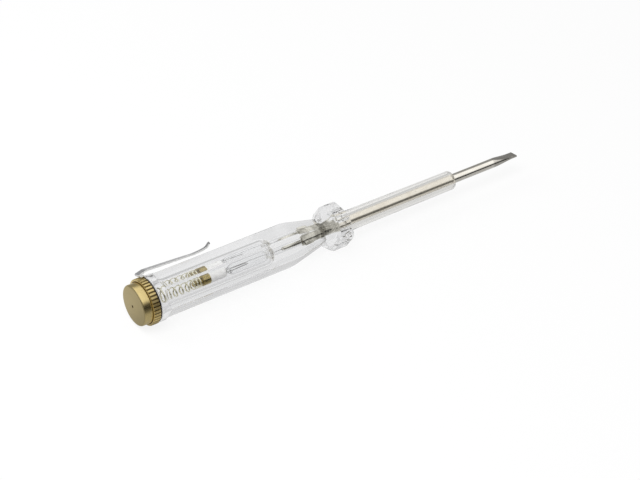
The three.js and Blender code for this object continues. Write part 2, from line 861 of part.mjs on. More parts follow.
addPiece("handle", handleSolid(), finishes.clear);
addPiece("blade", bladeSolid(), finishes.nickel);
addPiece("blade_sleeve", sleeveSolid(), finishes.sleeve);
addPiece("screw_cap", screwCap(), finishes.brass);
addPiece("clip_ring", clipRing(), finishes.springSteel, turnedClip);
addPiece("clip_arm", clipArm(), finishes.springSteel, turnedClip);
addPiece("contact_spring", wire(coils, spring.wireRadius, spring.wireSides), finishes.springWire);
addPiece("resistor_rear_cap", resistorRearCap(), finishes.brass);
addPiece("resistor_body", resistorBody(), finishes.ceramic);
addPiece("resistor_front_cap", resistorFrontCap(), finishes.tinned);
addPiece("lamp_glass", lampGlass(), finishes.glass);
addPiece("lamp_electrode_rear", electrode(-1), finishes.electrode);
addPiece("lamp_electrode_front", electrode(1), finishes.electrode);
addPiece("lamp_lead_rear", rearLead(), finishes.tinned);
addPiece("lamp_lead_front", frontLead(), finishes.tinned);

const part = new THREE.Group();
part.add(tool);

export default part;
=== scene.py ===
"""Looks of the voltage tester screwdriver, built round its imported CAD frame.

Every piece is made in the tool's own millimetres. X runs from the cap's outer face along the axis, and
Z is up. A finished piece is then carried to its place in the frame, in metres.
"""

import logging
import math
from collections.abc import Callable, Iterable, Sequence
from dataclasses import dataclass, field
from enum import Enum
from itertools import pairwise

import bmesh
import bpy
from bmesh.types import BMesh
from mathutils import Matrix, Vector


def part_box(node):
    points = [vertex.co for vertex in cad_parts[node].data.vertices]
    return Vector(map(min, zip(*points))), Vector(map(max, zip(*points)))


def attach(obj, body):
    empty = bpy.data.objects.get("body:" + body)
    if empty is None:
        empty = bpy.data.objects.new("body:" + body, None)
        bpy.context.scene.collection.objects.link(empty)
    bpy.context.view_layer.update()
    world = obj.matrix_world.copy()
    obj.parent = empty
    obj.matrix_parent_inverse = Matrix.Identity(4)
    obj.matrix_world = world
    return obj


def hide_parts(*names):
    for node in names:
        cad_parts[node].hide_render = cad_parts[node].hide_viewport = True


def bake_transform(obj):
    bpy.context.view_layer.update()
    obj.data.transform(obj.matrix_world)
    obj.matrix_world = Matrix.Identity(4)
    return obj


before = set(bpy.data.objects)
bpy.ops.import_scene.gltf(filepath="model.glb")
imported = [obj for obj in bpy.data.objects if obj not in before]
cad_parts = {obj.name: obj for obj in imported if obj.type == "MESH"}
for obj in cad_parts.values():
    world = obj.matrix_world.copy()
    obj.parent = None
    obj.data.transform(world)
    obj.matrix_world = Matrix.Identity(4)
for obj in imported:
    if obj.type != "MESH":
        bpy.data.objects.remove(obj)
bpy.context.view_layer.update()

log = logging.getLogger("voltage_tester")

Point = tuple[float, float]
Span = tuple[float, float]
Triple = tuple[float, float, float]
Colour = tuple[float, float, float]
Value = float | tuple[float, ...] | bpy.types.NodeSocket

MM = 0.001
FULL_TURN = 2 * math.pi
# Points closer than this are merged, in millimetres.
WELD = 1e-5
# How far a shape that cuts or trims reaches past what it cuts, in millimetres.
OVERRUN = 1.0
SIDES = 96
BLOCK_STEPS = 3
WIRE_STEPS = 8
WIRE_ROUND = 3
SMOOTH_ANGLE = math.radians(25)
MOST_BOUNCES = 24
ORIGIN = Vector((0.0, 0.0, 0.0))
ALONG = Vector((1.0, 0.0, 0.0))


class Body(Enum):
    """The CAD bodies that pieces ride on."""

    HANDLE = "handle"
    SPRING = "contact_spring"
    CAP = "screw_cap"
    RING = "clip_ring"
    ARM = "clip_arm"


class Slot(Enum):
    """The record's material slots."""

    CLEAR_PLASTIC = "clear_plastic"
    SLEEVE_PLASTIC = "sleeve_plastic"
    NICKEL = "nickel_steel"
    CLIP_STEEL = "clip_steel"
    BRASS = "brass"
    SPRING_WIRE = "spring_wire"
    CERAMIC = "ceramic"
    TINNED = "tinned_metal"
    ELECTRODE = "electrode"
    LAMP_GLASS = "lamp_glass"


class Cut(Enum):
    """How one solid is combined with another."""

    JOIN = "UNION"
    TAKE = "DIFFERENCE"
    KEEP = "INTERSECT"


@dataclass(frozen=True)
class Places:
    """Places along the tool in millimetres, from the cap's outer face to the blade's tip."""

    spring_start: float = 1.7
    spigot_start: float = 2.2
    flange_start: float = 3.1
    flange_end: float = 5.3
    ring_start: float = 5.4
    boss_start: float = 5.9
    grip_start: float = 8.9
    spring_end: float = 21.8
    shoulder: float = 22.1
    body_start: float = 24.6
    body_end: float = 30.0
    front_cap_end: float = 30.5
    lamp_start: float = 31.1
    lead_end: float = 33.5
    electrode_start: float = 33.6
    lamp_end: float = 46.1
    bore_end: float = 46.4
    tail_start: float = 50.2
    nose_start: float = 51.5
    shank_start: float = 56.2
    wing_start: float = 57.1
    neck: float = 64.3
    band_start: float = 67.2
    sleeve_start: float = 69.6
    band_end: float = 72.2
    guard_end: float = 73.6
    sleeve_end: float = 114.6
    grind_start: float = 130.7
    tip_flat_start: float = 138.3
    tip_end: float = 140.0


PLACES = Places()
AXIS_HEIGHT = (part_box("screw_cap")[0].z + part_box("screw_cap")[1].z) / 2
REAR_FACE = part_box("blade")[1].x - PLACES.tip_end * MM
TO_FRAME = Matrix.Translation((REAR_FACE, 0.0, AXIS_HEIGHT)) @ Matrix.Scale(MM, 4)


def at(place: float, y: float = 0.0, z: float = 0.0) -> Vector:
    """Returns a point of the tool, given in its millimetres, in the frame's metres."""
    return TO_FRAME @ Vector((place, y, z))


def arc(centre: Point, radius: float, start: float, end: float, steps: int) -> list[Point]:
    """Lays points on an arc of an outline, both ends included.

    Args:
        centre: The arc's centre as (place, radius).
        radius: The arc's own radius.
        start: The first angle in radians, counted from the tool's forward direction.
        end: The last angle.
        steps: How many steps the arc takes.

    Returns:
        The points as (place, radius).
    """
    angles = [start + (end - start) * step / steps for step in range(steps + 1)]
    return [(centre[0] + radius * math.cos(a), centre[1] + radius * math.sin(a)) for a in angles]


def rear_corner(place: float, radius: float, edge: float, steps: int) -> list[Point]:
    """Rounds the rear corner of an outline.

    Args:
        place: The corner's place along the tool.
        radius: Its distance from the axis.
        edge: The radius of the rounding.
        steps: How many steps it takes.

    Returns:
        The points as (place, radius), from the rear face outwards.
    """
    return arc((place + edge, radius - edge), edge, math.pi, math.pi / 2, steps)


def front_corner(place: float, radius: float, edge: float, steps: int) -> list[Point]:
    """Rounds the front corner of an outline.

    Args:
        place: The corner's place along the tool.
        radius: Its distance from the axis.
        edge: The radius of the rounding.
        steps: How many steps it takes.

    Returns:
        The points as (place, radius), ending on the front face.
    """
    return arc((place - edge, radius - edge), edge, math.pi / 2, 0.0, steps)


def points_in(made: Iterable[object]) -> list[bmesh.types.BMVert]:
    """Returns the points among what an operator made."""
    return [item for item in made if isinstance(item, bmesh.types.BMVert)]


def turned(outline: Sequence[Point], steps: int = SIDES, closed: bool = False) -> BMesh:
    """Spins an outline about the tool's axis.

    Args:
        outline: Points of (place, radius), which start and end on the axis unless the outline is closed.
        steps: How many steps a full turn takes.
        closed: Whether the last point is joined to the first.

    Returns:
        The closed shape.
    """
    shape = bmesh.new()
    points = [shape.verts.new((place, 0.0, radius)) for place, radius in outline]
    for first, second in pairwise(points + points[:1] if closed else points):
        shape.edges.new((first, second))
    bmesh.ops.spin(
        shape,
        geom=shape.verts[:] + shape.edges[:],
        cent=ORIGIN,
        axis=ALONG,
        dvec=ORIGIN,
        angle=FULL_TURN,
        steps=steps,
        use_merge=True,
    )
    bmesh.ops.remove_doubles(shape, verts=shape.verts[:], dist=WELD)
    bmesh.ops.recalc_face_normals(shape, faces=shape.faces[:])
    return shape


def cylinder(start: float, end: float, radius: float, steps: int = SIDES) -> BMesh:
    """Makes a plain cylinder on the tool's axis.

    Args:
        start: Where it starts.
        end: Where it ends.
        radius: Its radius.
        steps: How many steps a full turn takes.

    Returns:
        The closed shape.
    """
    return turned([(start, 0.0), (start, radius), (end, radius), (end, 0.0)], steps)


def lofted(stations: Sequence[Point], sides: int, turn: float = 0.0) -> BMesh:
    """Extrudes a regular ring along the tool's axis through stations.

    Args:
        stations: The stations as (place, radius to a corner).
        sides: How many sides the ring has.
        turn: How far the ring's first corner is turned about the axis, in radians.

    Returns:
        The shape, closed at both ends.
    """
    shape = bmesh.new()
    place, radius = stations[0]
    ring = bmesh.ops.create_circle(shape, cap_ends=False, radius=radius, segments=sides)["verts"]
    bmesh.ops.rotate(shape, verts=ring, cent=ORIGIN, matrix=Matrix.Rotation(turn, 3, "Z"))
    bmesh.ops.rotate(shape, verts=ring, cent=ORIGIN, matrix=Matrix.Rotation(math.pi / 2, 3, "Y"))
    bmesh.ops.translate(shape, verts=ring, vec=ALONG * place)
    edges = shape.edges[:]
    bmesh.ops.contextual_create(shape, geom=edges)
    for (place, radius), (next_place, next_radius) in pairwise(stations):
        made = bmesh.ops.extrude_edge_only(shape, edges=edges)["geom"]
        ring = points_in(made)
        edges = [item for item in made if isinstance(item, bmesh.types.BMEdge) and item.is_boundary]
        share = next_radius / radius
        bmesh.ops.translate(shape, verts=ring, vec=ALONG * (next_place - place))
        bmesh.ops.scale(shape, verts=ring, vec=(1.0, share, share))
    bmesh.ops.contextual_create(shape, geom=edges)
    bmesh.ops.recalc_face_normals(shape, faces=shape.faces[:])
    return shape


def soften(shape: BMesh, edges: Iterable[bmesh.types.BMEdge], width: float, segments: int) -> None:
    """Rounds some edges of a shape.

    Args:
        shape: The shape that is changed.
        edges: The edges to round.
        width: How far the rounding reaches from each edge.
        segments: How many faces the rounding has.
    """
    bmesh.ops.bevel(
        shape,
        geom=list(edges),
        offset=width,
        offset_type="OFFSET",
        affect="EDGES",
        segments=segments,
        profile=0.5,
        clamp_overlap=True,
        material=-1,
    )


def block(size: Triple, middle: float, edge: float) -> BMesh:
    """Makes a rounded block on the tool's axis.

    Args:
        size: Its length, width and thickness.
        middle: The place of its middle along the tool.
        edge: How far the rounding reaches from each edge.

    Returns:
        The closed shape.
    """
    shape = bmesh.new()
    corners = bmesh.ops.create_cube(shape, size=1.0)["verts"]
    bmesh.ops.scale(shape, verts=corners, vec=size)
    bmesh.ops.translate(shape, verts=corners, vec=ALONG * middle)
    soften(shape, shape.edges[:], edge, BLOCK_STEPS)
    return shape


def sharp_edges(shape: BMesh, angle: float = SMOOTH_ANGLE) -> list[bmesh.types.BMEdge]:
    """Returns the edges of a shape where two faces meet at more than an angle."""
    return [edge for edge in shape.edges if edge.is_manifold and edge.calc_face_angle() > angle]


def long_edges(shape: BMesh, across: float = 0.6) -> list[bmesh.types.BMEdge]:
    """Finds the edges that run along the tool.

    Args:
        shape: The shape.
        across: How far an edge may run across the tool, as a share of its length.

    Returns:
        The edges.
    """
    found = []
    for edge in shape.edges:
        way = edge.verts[1].co - edge.verts[0].co
        if way.length > WELD and math.hypot(way.y, way.z) < across * way.length:
            found.append(edge)
    return found


def solid(shape: BMesh, name: str = "blank") -> bpy.types.Object:
    """Turns a shape into an object in the scene, and frees the shape.

    Args:
        shape: The shape to store.
        name: The object's name.

    Returns:
        The new object, still in the tool's millimetres.
    """
    mesh = bpy.data.meshes.new(name)
    shape.to_mesh(mesh)
    shape.free()
    made = bpy.data.objects.new(name, mesh)
    bpy.context.scene.collection.objects.link(made)
    return made


def settle(piece: bpy.types.Object) -> None:
    """Applies a piece's modifiers to its mesh.

    Args:
        piece: The piece.
    """
    bpy.context.view_layer.update()
    evaluated = piece.evaluated_get(bpy.context.evaluated_depsgraph_get())
    mesh = bpy.data.meshes.new_from_object(evaluated)
    worn = piece.data
    piece.modifiers.clear()
    piece.data = mesh
    mesh.name = piece.name
    bpy.data.meshes.remove(worn)


def round_edges(piece: bpy.types.Object, width: float, segments: int, angle: float) -> None:
    """Rounds the sharp edges of a piece.

    Args:
        piece: The piece that is changed.
        width: How far the rounding reaches from each edge.
        segments: How many faces the rounding has.
        angle: The angle past which an edge is sharp.
    """
    rounding = piece.modifiers.new("edge_round", "BEVEL")
    rounding.width = width
    rounding.segments = segments
    rounding.limit_method = "ANGLE"
    rounding.angle_limit = angle
    settle(piece)


def combine(base: bpy.types.Object, other: bpy.types.Object, cut: Cut) -> None:
    """Joins, cuts or trims one solid with another, which is used up.

    Args:
        base: The solid that is changed.
        other: The solid that changes it.
        cut: How the two are combined.
    """
    modifier = base.modifiers.new("cut", "BOOLEAN")
    modifier.operation = cut.value
    modifier.solver = "EXACT"
    modifier.object = other
    settle(base)
    bpy.data.objects.remove(other)


def wire_along(points: Sequence[Vector], radius: float, name: str) -> bpy.types.Object:
    """Lays a round wire along a smooth line through points.

    Args:
        points: The points of its middle line, in the tool's millimetres.
        radius: The wire's radius.
        name: The object's name.

    Returns:
        The wire as a mesh object.
    """
    curve = bpy.data.curves.new(name, "CURVE")
    curve.dimensions = "3D"
    curve.bevel_depth = radius
    curve.bevel_resolution = WIRE_ROUND
    curve.use_fill_caps = True
    curve.resolution_u = WIRE_STEPS
    spline = curve.splines.new("BEZIER")
    spline.bezier_points.add(len(points) - 1)
    for knot, point in zip(spline.bezier_points, points):
        knot.co = point
        knot.handle_left_type = "AUTO"
        knot.handle_right_type = "AUTO"
    holder = bpy.data.objects.new(name, curve)
    bpy.context.scene.collection.objects.link(holder)
    bpy.context.view_layer.update()
    evaluated = holder.evaluated_get(bpy.context.evaluated_depsgraph_get())
    mesh = bpy.data.meshes.new_from_object(evaluated)
    bpy.data.objects.remove(holder)
    shape = bmesh.new()
    shape.from_mesh(mesh)
    bmesh.ops.remove_doubles(shape, verts=shape.verts[:], dist=WELD)
    bmesh.ops.recalc_face_normals(shape, faces=shape.faces[:])
    bpy.data.meshes.remove(mesh)
    return solid(shape, name)


def carry(piece: bpy.types.Object, name: str, smooth: float = SMOOTH_ANGLE) -> bpy.types.Object:
    """Names a piece, carries its mesh from the tool's millimetres into the frame and sets its shading.

    Args:
        piece: The piece to carry.
        name: Its name in the scene.
        smooth: The angle past which an edge stays sharp.

    Returns:
        The same piece.
    """
    piece.name = name
    piece.data.name = name
    piece.data.transform(TO_FRAME)
    piece.data.shade_smooth()
    piece.data.set_sharp_from_angle(angle=smooth)
    return piece


def mount(
    piece: bpy.types.Object,
    finish: bpy.types.Material,
    node: str,
    body: Body | None = Body.HANDLE,
) -> None:
    """Dresses a shaped piece and ties it to the CAD frame.

    Args:
        piece: The piece.
        finish: The material that it gets.
        node: The CAD node that the piece replaces.
        body: The body that it rides on, or None where it is tied to no body.
    """
    piece.data.materials.append(finish)
    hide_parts(node)
    if body is not None:
        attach(piece, body.value)
    log.info("%s: %d faces", piece.name, len(piece.data.polygons))


class Graph:
    """A node tree with short calls that add nodes and join them."""

    def __init__(self, tree: bpy.types.NodeTree) -> None:
        """Takes the tree that the calls work on."""
        self.tree = tree

    def add(
        self, kind: str, inputs: dict[str | int, Value] | None = None, **settings: object
    ) -> bpy.types.Node:
        """Adds a node.

        Args:
            kind: The node's type.
            inputs: Values or sockets for its inputs, by name or number.
            **settings: The node's own settings.

        Returns:
            The new node.
        """
        node = self.tree.nodes.new(kind)
        for name, setting in settings.items():
            setattr(node, name, setting)
        for key, value in (inputs or {}).items():
            self.feed(node.inputs[key], value)
        return node

    def feed(self, socket: bpy.types.NodeSocket, value: Value) -> None:
        """Joins a socket to another one, or sets its value.

        Args:
            socket: The socket that is fed.
            value: The other socket or the value, a colour being three numbers.
        """
        if isinstance(value, bpy.types.NodeSocket):
            self.tree.links.new(value, socket)
        elif socket.type == "RGBA":
            socket.default_value = (*value, 1.0)
        else:
            socket.default_value = value

    def math(self, operation: str, *values: Value) -> bpy.types.NodeSocket:
        """Returns the result of a Math node."""
        return self.add("ShaderNodeMath", dict(enumerate(values)), operation=operation).outputs[0]

    def ramp(
        self, value: Value, low: float, high: float, first: Value = 0.0, last: Value = 1.0
    ) -> bpy.types.NodeSocket:
        """Maps a value smoothly from one range to another.

        Args:
            value: The value.
            low: Where the smooth step starts.
            high: Where it ends.
            first: The result at its start.
            last: The result at its end.

        Returns:
            The mapped value.
        """
        inputs = {"Value": value, "From Min": low, "From Max": high, "To Min": first, "To Max": last}
        return self.add("ShaderNodeMapRange", inputs, interpolation_type="SMOOTHSTEP").outputs["Result"]

    def past(self, place: Value, start: float, edge: Span) -> bpy.types.NodeSocket:
        """Returns a mask that rises along the tool over an edge, given in millimetres from a start."""
        return self.ramp(place, (start + edge[0]) * MM, (start + edge[1]) * MM)

    def near(self, value: Value, middle: float, reach: float, most: float = 1.0) -> bpy.types.NodeSocket:
        """Returns a mask round a middle value that falls to nothing at a reach, in millimetres."""
        off = self.math("ABSOLUTE", self.math("SUBTRACT", value, middle * MM))
        return self.ramp(off, reach * MM, reach * MM / 2, 0.0, most)

    def mix(self, share: Value, first: Value, second: Value) -> bpy.types.NodeSocket:
        """Returns a colour between two colours."""
        return self.add("ShaderNodeMix", {0: share, 6: first, 7: second}, data_type="RGBA").outputs[2]

    def between(self, share: Value, first: Value, second: Value) -> bpy.types.NodeSocket:
        """Returns a value between two values."""
        return self.add("ShaderNodeMix", {0: share, 2: first, 3: second}, data_type="FLOAT").outputs[0]

    def noise(self, vector: Value, scale: Value, detail: float) -> bpy.types.NodeSocket:
        """Returns a noise value at a scale, counted per metre."""
        inputs = {"Vector": vector, "Scale": scale, "Detail": detail}
        return self.add("ShaderNodeTexNoise", inputs).outputs["Fac"]

    def bump(self, depth: float, height: Value, under: Value | None = None) -> bpy.types.NodeSocket:
        """Raises a bump.

        Args:
            depth: Its depth in metres.
            height: Its height, from 0 to 1.
            under: The normal that it lies on, if it lies on another bump.

        Returns:
            The new normal.
        """
        inputs = {"Strength": 1.0, "Distance": depth, "Height": height}
        if under is not None:
            inputs["Normal"] = under
        return self.add("ShaderNodeBump", inputs).outputs["Normal"]

    def effect(
        self, tree: bpy.types.NodeTree, vector: Value, per_metre: float, **more: Value
    ) -> bpy.types.bpy_prop_collection:
        """Adds a shared effect.

        Args:
            tree: The effect's node group.
            vector: The object coordinates.
            per_metre: How fine it is.
            **more: What else it takes.

        Returns:
            The effect's outputs.
        """
        inputs = {"Vector": vector, "Per Metre": per_metre, **more}
        return self.add("ShaderNodeGroup", inputs, node_tree=tree).outputs


def emptied(owner: bpy.types.Material | bpy.types.World) -> Graph:
    """Clears a material or a world of its own nodes.

    Args:
        owner: The material or the world.

    Returns:
        The graph of its node tree.
    """
    owner.use_nodes = True
    owner.node_tree.nodes.clear()
    return Graph(owner.node_tree)


@dataclass
class Effects:
    """The node groups that the finishes share, each made once."""

    turned_detail: float = 3.0
    drawn_detail: float = 2.0
    smudge_detail: float = 4.0
    smudge_edge: Span = (0.4, 0.66)
    speck_detail: float = 2.0
    specks_per_smudge: float = 9.0
    speck_edge: Span = (0.62, 0.74)

    def __post_init__(self) -> None:
        """Builds the groups."""
        self.turning = self.turning_marks()
        self.drawing = self.drawn_marks()
        self.handling = self.handling_marks()

    def start(
        self, name: str, inputs: Sequence[str], outputs: Sequence[str]
    ) -> tuple[Graph, bpy.types.bpy_prop_collection, bpy.types.bpy_prop_collection]:
        """Starts a node group that takes a vector and values, and gives values.

        Args:
            name: The group's name.
            inputs: The names of the values that it takes.
            outputs: The names of the values that it gives.

        Returns:
            The group's graph, what it takes and the sockets to feed with what it gives.
        """
        group = bpy.data.node_groups.new(name, "ShaderNodeTree")
        group.interface.new_socket(name="Vector", in_out="INPUT", socket_type="NodeSocketVector")
        for side, sockets in (("INPUT", inputs), ("OUTPUT", outputs)):
            for socket in sockets:
                group.interface.new_socket(name=socket, in_out=side, socket_type="NodeSocketFloat")
        graph = Graph(group)
        return graph, graph.add("NodeGroupInput").outputs, graph.add("NodeGroupOutput").inputs

    def turning_marks(self) -> bpy.types.NodeTree:
        """Builds the fine rings that a lathe leaves, which change along the axis and out from it.

        Returns:
            The group, which also gives the place along the axis and the distance from it.
        """
        graph, given, result = self.start("turning_marks", ["Per Metre"], ["Height", "Radius", "Place"])
        split = graph.add("ShaderNodeSeparateXYZ", {0: given["Vector"]}).outputs
        height = graph.math("SUBTRACT", split["Z"], AXIS_HEIGHT)
        across = graph.add("ShaderNodeCombineXYZ", {"Y": split["Y"], "Z": height}).outputs[0]
        radius = graph.add("ShaderNodeVectorMath", {0: across}, operation="LENGTH").outputs["Value"]
        place = graph.math("SUBTRACT", split["X"], REAR_FACE)
        rings = graph.add("ShaderNodeCombineXYZ", {"X": place, "Y": radius}).outputs[0]
        graph.feed(result["Height"], graph.noise(rings, given["Per Metre"], self.turned_detail))
        graph.feed(result["Radius"], radius)
        graph.feed(result["Place"], place)
        return graph.tree

    def drawn_marks(self) -> bpy.types.NodeTree:
        """Builds the fine lines that drawing a wire or rod through a die leaves along it.

        Returns:
            The group.
        """
        graph, given, result = self.start("drawn_marks", ["Per Metre", "Along"], ["Height"])
        stretch = graph.add("ShaderNodeCombineXYZ", {"X": given["Along"], "Y": 1.0, "Z": 1.0}).outputs[0]
        inputs = {0: given["Vector"], 1: stretch}
        vector = graph.add("ShaderNodeVectorMath", inputs, operation="MULTIPLY").outputs[0]
        graph.feed(result["Height"], graph.noise(vector, given["Per Metre"], self.drawn_detail))
        return graph.tree

    def handling_marks(self) -> bpy.types.NodeTree:
        """Builds the soft smudges and specks that fingers and pockets leave.

        Returns:
            The group, which gives both as masks from 0 to 1.
        """
        graph, given, result = self.start("handling_marks", ["Per Metre"], ["Smudge", "Speck"])
        smudge = graph.noise(given["Vector"], given["Per Metre"], self.smudge_detail)
        fine = graph.math("MULTIPLY", given["Per Metre"], self.specks_per_smudge)
        speck = graph.noise(given["Vector"], fine, self.speck_detail)
        graph.feed(result["Smudge"], graph.ramp(smudge, *self.smudge_edge))
        graph.feed(result["Speck"], graph.ramp(speck, *self.speck_edge))
        return graph.tree


@dataclass(frozen=True)
class Spot:
    """Where a shaded point lies on the tool, in metres, and which marks it bears."""

    vector: Value
    place: Value
    radius: Value
    rings: Value
    smudge: Value


@dataclass
class Coat:
    """A metal's colour, roughness and metalness, as one effect is laid on after the other."""

    graph: Graph
    colour: Value
    roughness: Value
    metallic: Value = 1.0

    def lay(self, mask: Value, colour: Value | None = None, roughness: float | None = None) -> None:
        """Lays a new colour and roughness on.

        Args:
            mask: Where it is laid on.
            colour: The new colour, if it changes.
            roughness: The new roughness, if it changes.
        """
        if colour is not None:
            self.colour = self.graph.mix(mask, self.colour, colour)
        if roughness is not None:
            self.roughness = self.graph.between(mask, self.roughness, roughness)


@dataclass(frozen=True)
class Metal:
    """A metal with turned or drawn marks, smudges and a darker tone where it is dull.

    Places and radii are in the tool's millimetres, and depths in metres. The face is the cap's end,
    painted darker as shade, and the grooves are its knurl's, painted dark as shade, with the corner
    behind its button. The rim is the edge of the clip's ring, painted dark as shade, and the shorn edges
    are those of its strip. The blade is stained where it is moulded in, with a ring of painted shade in
    the guard, and ground at its tip. What is left at zero isn't there.
    """

    name: str
    colour: Colour
    dull_colour: Colour
    roughness: float = 0.25
    dull_roughness: float = 0.4
    turned_per_metre: float = 9000.0
    turned_depth: float = 0.000004
    drawn_per_metre: float = 9000.0
    drawn_depth: float = 0.0
    drawn_along: float = 0.02
    smudge_per_metre: float = 260.0
    smudge_share: float = 0.6
    groove_radius: float = 0.0
    groove_height: float = 0.0
    # Painted shade in the knurl's grooves, in the corner behind the button and in the punch mark's pit.
    recess_shade_colour: Colour = (0.08, 0.05, 0.02)
    groove_shade_share: float = 0.85
    groove_roughness: float = 0.55
    crest_roughness: float = 0.45
    crest_edge: Span = (0.05, 0.2)
    corner_radius: float = 6.42
    corner_reach: float = 0.2
    corner_edge: Span = (-0.22, -0.08)
    rim_radius: float = 0.0
    rim_reach: float = 0.14
    # Painted shade on the edge of the clip's ring.
    rim_shade_colour: Colour = (0.06, 0.055, 0.05)
    rim_edge: Span = (-0.3, -0.1)
    shorn_reach: float = 0.0
    shorn_colour: Colour = (0.78, 0.78, 0.77)
    shorn_roughness: float = 0.5
    shorn_metallic: float = 0.25
    face_place: float = 0.0
    face_edge_share: float = 0.4
    # The face's colour is painted shade: the brass, darker.
    face_shade_colour: Colour = (0.5, 0.4, 0.2)
    face_roughness: float = 0.5
    face_rings: Span = (0.3, 0.7)
    face_ring_share: float = 0.35
    pit_radius: float = 0.55
    ground_place: float = 0.0
    ground_edge: float = 0.5
    ground_colour: Colour = (0.3, 0.28, 0.25)
    moulded_place: float = 0.0
    moulded_edge: float = 1.0
    moulded_colour: Colour = (0.8, 0.78, 0.7)
    # Random stains, and a ring of painted shade in the guard.
    stain_and_shade_colour: Colour = (0.16, 0.15, 0.12)
    shade_ring_place: float = 65.2
    shade_ring_reach: float = 2.6
    shade_ring_share: float = 0.9
    stained_smudges: float = 0.75

    def build(self, effects: Effects) -> bpy.types.Material:
        """Builds the material.

        Args:
            effects: The shared node groups.

        Returns:
            The material.
        """
        material = bpy.data.materials.new(self.name)
        graph = emptied(material)
        vector = graph.add("ShaderNodeTexCoord").outputs["Object"]
        turning = graph.effect(effects.turning, vector, self.turned_per_metre)
        handling = graph.effect(effects.handling, vector, self.smudge_per_metre)
        streaks = graph.math("MULTIPLY", turning["Height"], self.smudge_share)
        smudged = graph.math("MULTIPLY", handling["Smudge"], streaks)
        dull = graph.math("MAXIMUM", smudged, handling["Speck"])
        colour = graph.mix(dull, self.colour, self.dull_colour)
        coat = Coat(graph, colour, graph.ramp(dull, 0.0, 1.0, self.roughness, self.dull_roughness))
        spot = Spot(vector, turning["Place"], turning["Radius"], turning["Height"], handling["Smudge"])
        for there, lay in (
            (self.face_place, self.lay_face),
            (self.groove_height, self.lay_groove_shade),
            (self.rim_radius, self.lay_rim_shade),
            (self.shorn_reach, self.lay_shorn_edges),
            (self.moulded_place, self.lay_moulding),
            (self.ground_place, self.lay_grinding),
        ):
            if there > 0:
                lay(coat, spot)
        normal = graph.bump(self.turned_depth, spot.rings)
        if self.drawn_depth > 0:
            lines = graph.effect(effects.drawing, vector, self.drawn_per_metre, Along=self.drawn_along)
            normal = graph.bump(self.drawn_depth, lines["Height"], normal)
        inputs = {"Base Color": coat.colour, "Metallic": coat.metallic, "Roughness": coat.roughness}
        shader = graph.add("ShaderNodeBsdfPrincipled", {**inputs, "Normal": normal})
        graph.add("ShaderNodeOutputMaterial", {"Surface": shader.outputs[0]})
        return material

    def lay_face(self, coat: Coat, spot: Spot) -> None:
        """Lays the cap's face on: rougher as worn, ringed, and painted darker than the brass as shade,
        with painted shade in its punch mark's pit.

        Args:
            coat: What is changed.
            spot: Where the shaded point lies.
        """
        graph = coat.graph
        face_end = self.face_place * self.face_edge_share * MM
        face = graph.ramp(spot.place, self.face_place * MM, face_end)
        rings = graph.ramp(spot.rings, *self.face_rings, 0.0, self.face_ring_share)
        # The face is painted darker as shade, and its rings mix that painted shade with the brass.
        worn = graph.mix(rings, self.face_shade_colour, self.colour)
        pit = graph.ramp(spot.radius, self.pit_radius * MM, self.pit_radius * MM / 2)
        # The punch mark's pit is painted dark as shade.
        worn = graph.mix(graph.math("MULTIPLY", face, pit), worn, self.recess_shade_colour)
        coat.lay(face, worn, self.face_roughness)

    def lay_groove_shade(self, coat: Coat, spot: Spot) -> None:
        """Lays painted shade between the knurl's teeth and in the corner between button and flange, with
        rougher teeth and grooves.

        Args:
            coat: What is changed.
            spot: Where the shaded point lies.
        """
        graph = coat.graph
        crest = self.groove_radius + self.groove_height
        deep = graph.ramp(spot.radius, crest * MM, self.groove_radius * MM)
        flange = graph.past(spot.place, PLACES.flange_start, self.crest_edge)
        outside = self.corner_radius + self.corner_reach
        foot = graph.ramp(spot.radius, outside * MM, self.corner_radius * MM)
        behind = graph.past(spot.place, PLACES.flange_start, self.corner_edge)
        corner = graph.math("MULTIPLY", foot, behind)
        groove = graph.math("MAXIMUM", graph.math("MULTIPLY", deep, flange), corner)
        coat.lay(flange, roughness=self.crest_roughness)
        coat.lay(groove, roughness=self.groove_roughness)
        # The grooves and the corner are painted dark as shade.
        coat.lay(graph.math("MULTIPLY", groove, self.groove_shade_share), self.recess_shade_colour)

    def lay_rim_shade(self, coat: Coat, spot: Spot) -> None:
        """Lays painted shade on the edge of the clip's ring.

        Args:
            coat: What is changed.
            spot: Where the shaded point lies.
        """
        rim = coat.graph.near(spot.radius, self.rim_radius, self.rim_reach)
        ring = coat.graph.past(spot.place, PLACES.ring_start, self.rim_edge)
        # The ring's edge is painted dark as shade.
        coat.lay(coat.graph.math("MULTIPLY", rim, ring), self.rim_shade_colour)

    def lay_shorn_edges(self, coat: Coat, spot: Spot) -> None:
        """Lays the matt, shorn edges of the clip's strip on.

        Args:
            coat: What is changed.
            spot: Where the shaded point lies.
        """
        graph, clip = coat.graph, PocketClip()
        side = Matrix.Rotation(clip.turn, 3, "X") @ Vector((0.0, 1.0, 0.0))
        across = graph.add("ShaderNodeVectorMath", {0: spot.vector, 1: side}, operation="DOT_PRODUCT")
        offset = graph.math("SUBTRACT", across.outputs["Value"], side.z * AXIS_HEIGHT)
        inputs = {
            "Value": spot.place,
            "From Min": clip.fold_line()[-1][0] * MM,
            "From Max": clip.leaf_line()[-1][0] * MM,
            "To Min": clip.width * MM / 2,
            "To Max": clip.tip_width * MM / 2,
        }
        half = graph.add("ShaderNodeMapRange", inputs).outputs["Result"]
        inset = graph.math("SUBTRACT", half, graph.math("ABSOLUTE", offset))
        edge = graph.ramp(inset, self.shorn_reach * MM, self.shorn_reach * MM / 2)
        off_ring = graph.ramp(spot.radius, clip.ring_radius * MM, clip.run_height * MM)
        shorn = graph.math("MULTIPLY", edge, off_ring)
        coat.lay(shorn, self.shorn_colour, self.shorn_roughness)
        coat.metallic = graph.ramp(shorn, 0.0, 1.0, 1.0, self.shorn_metallic)

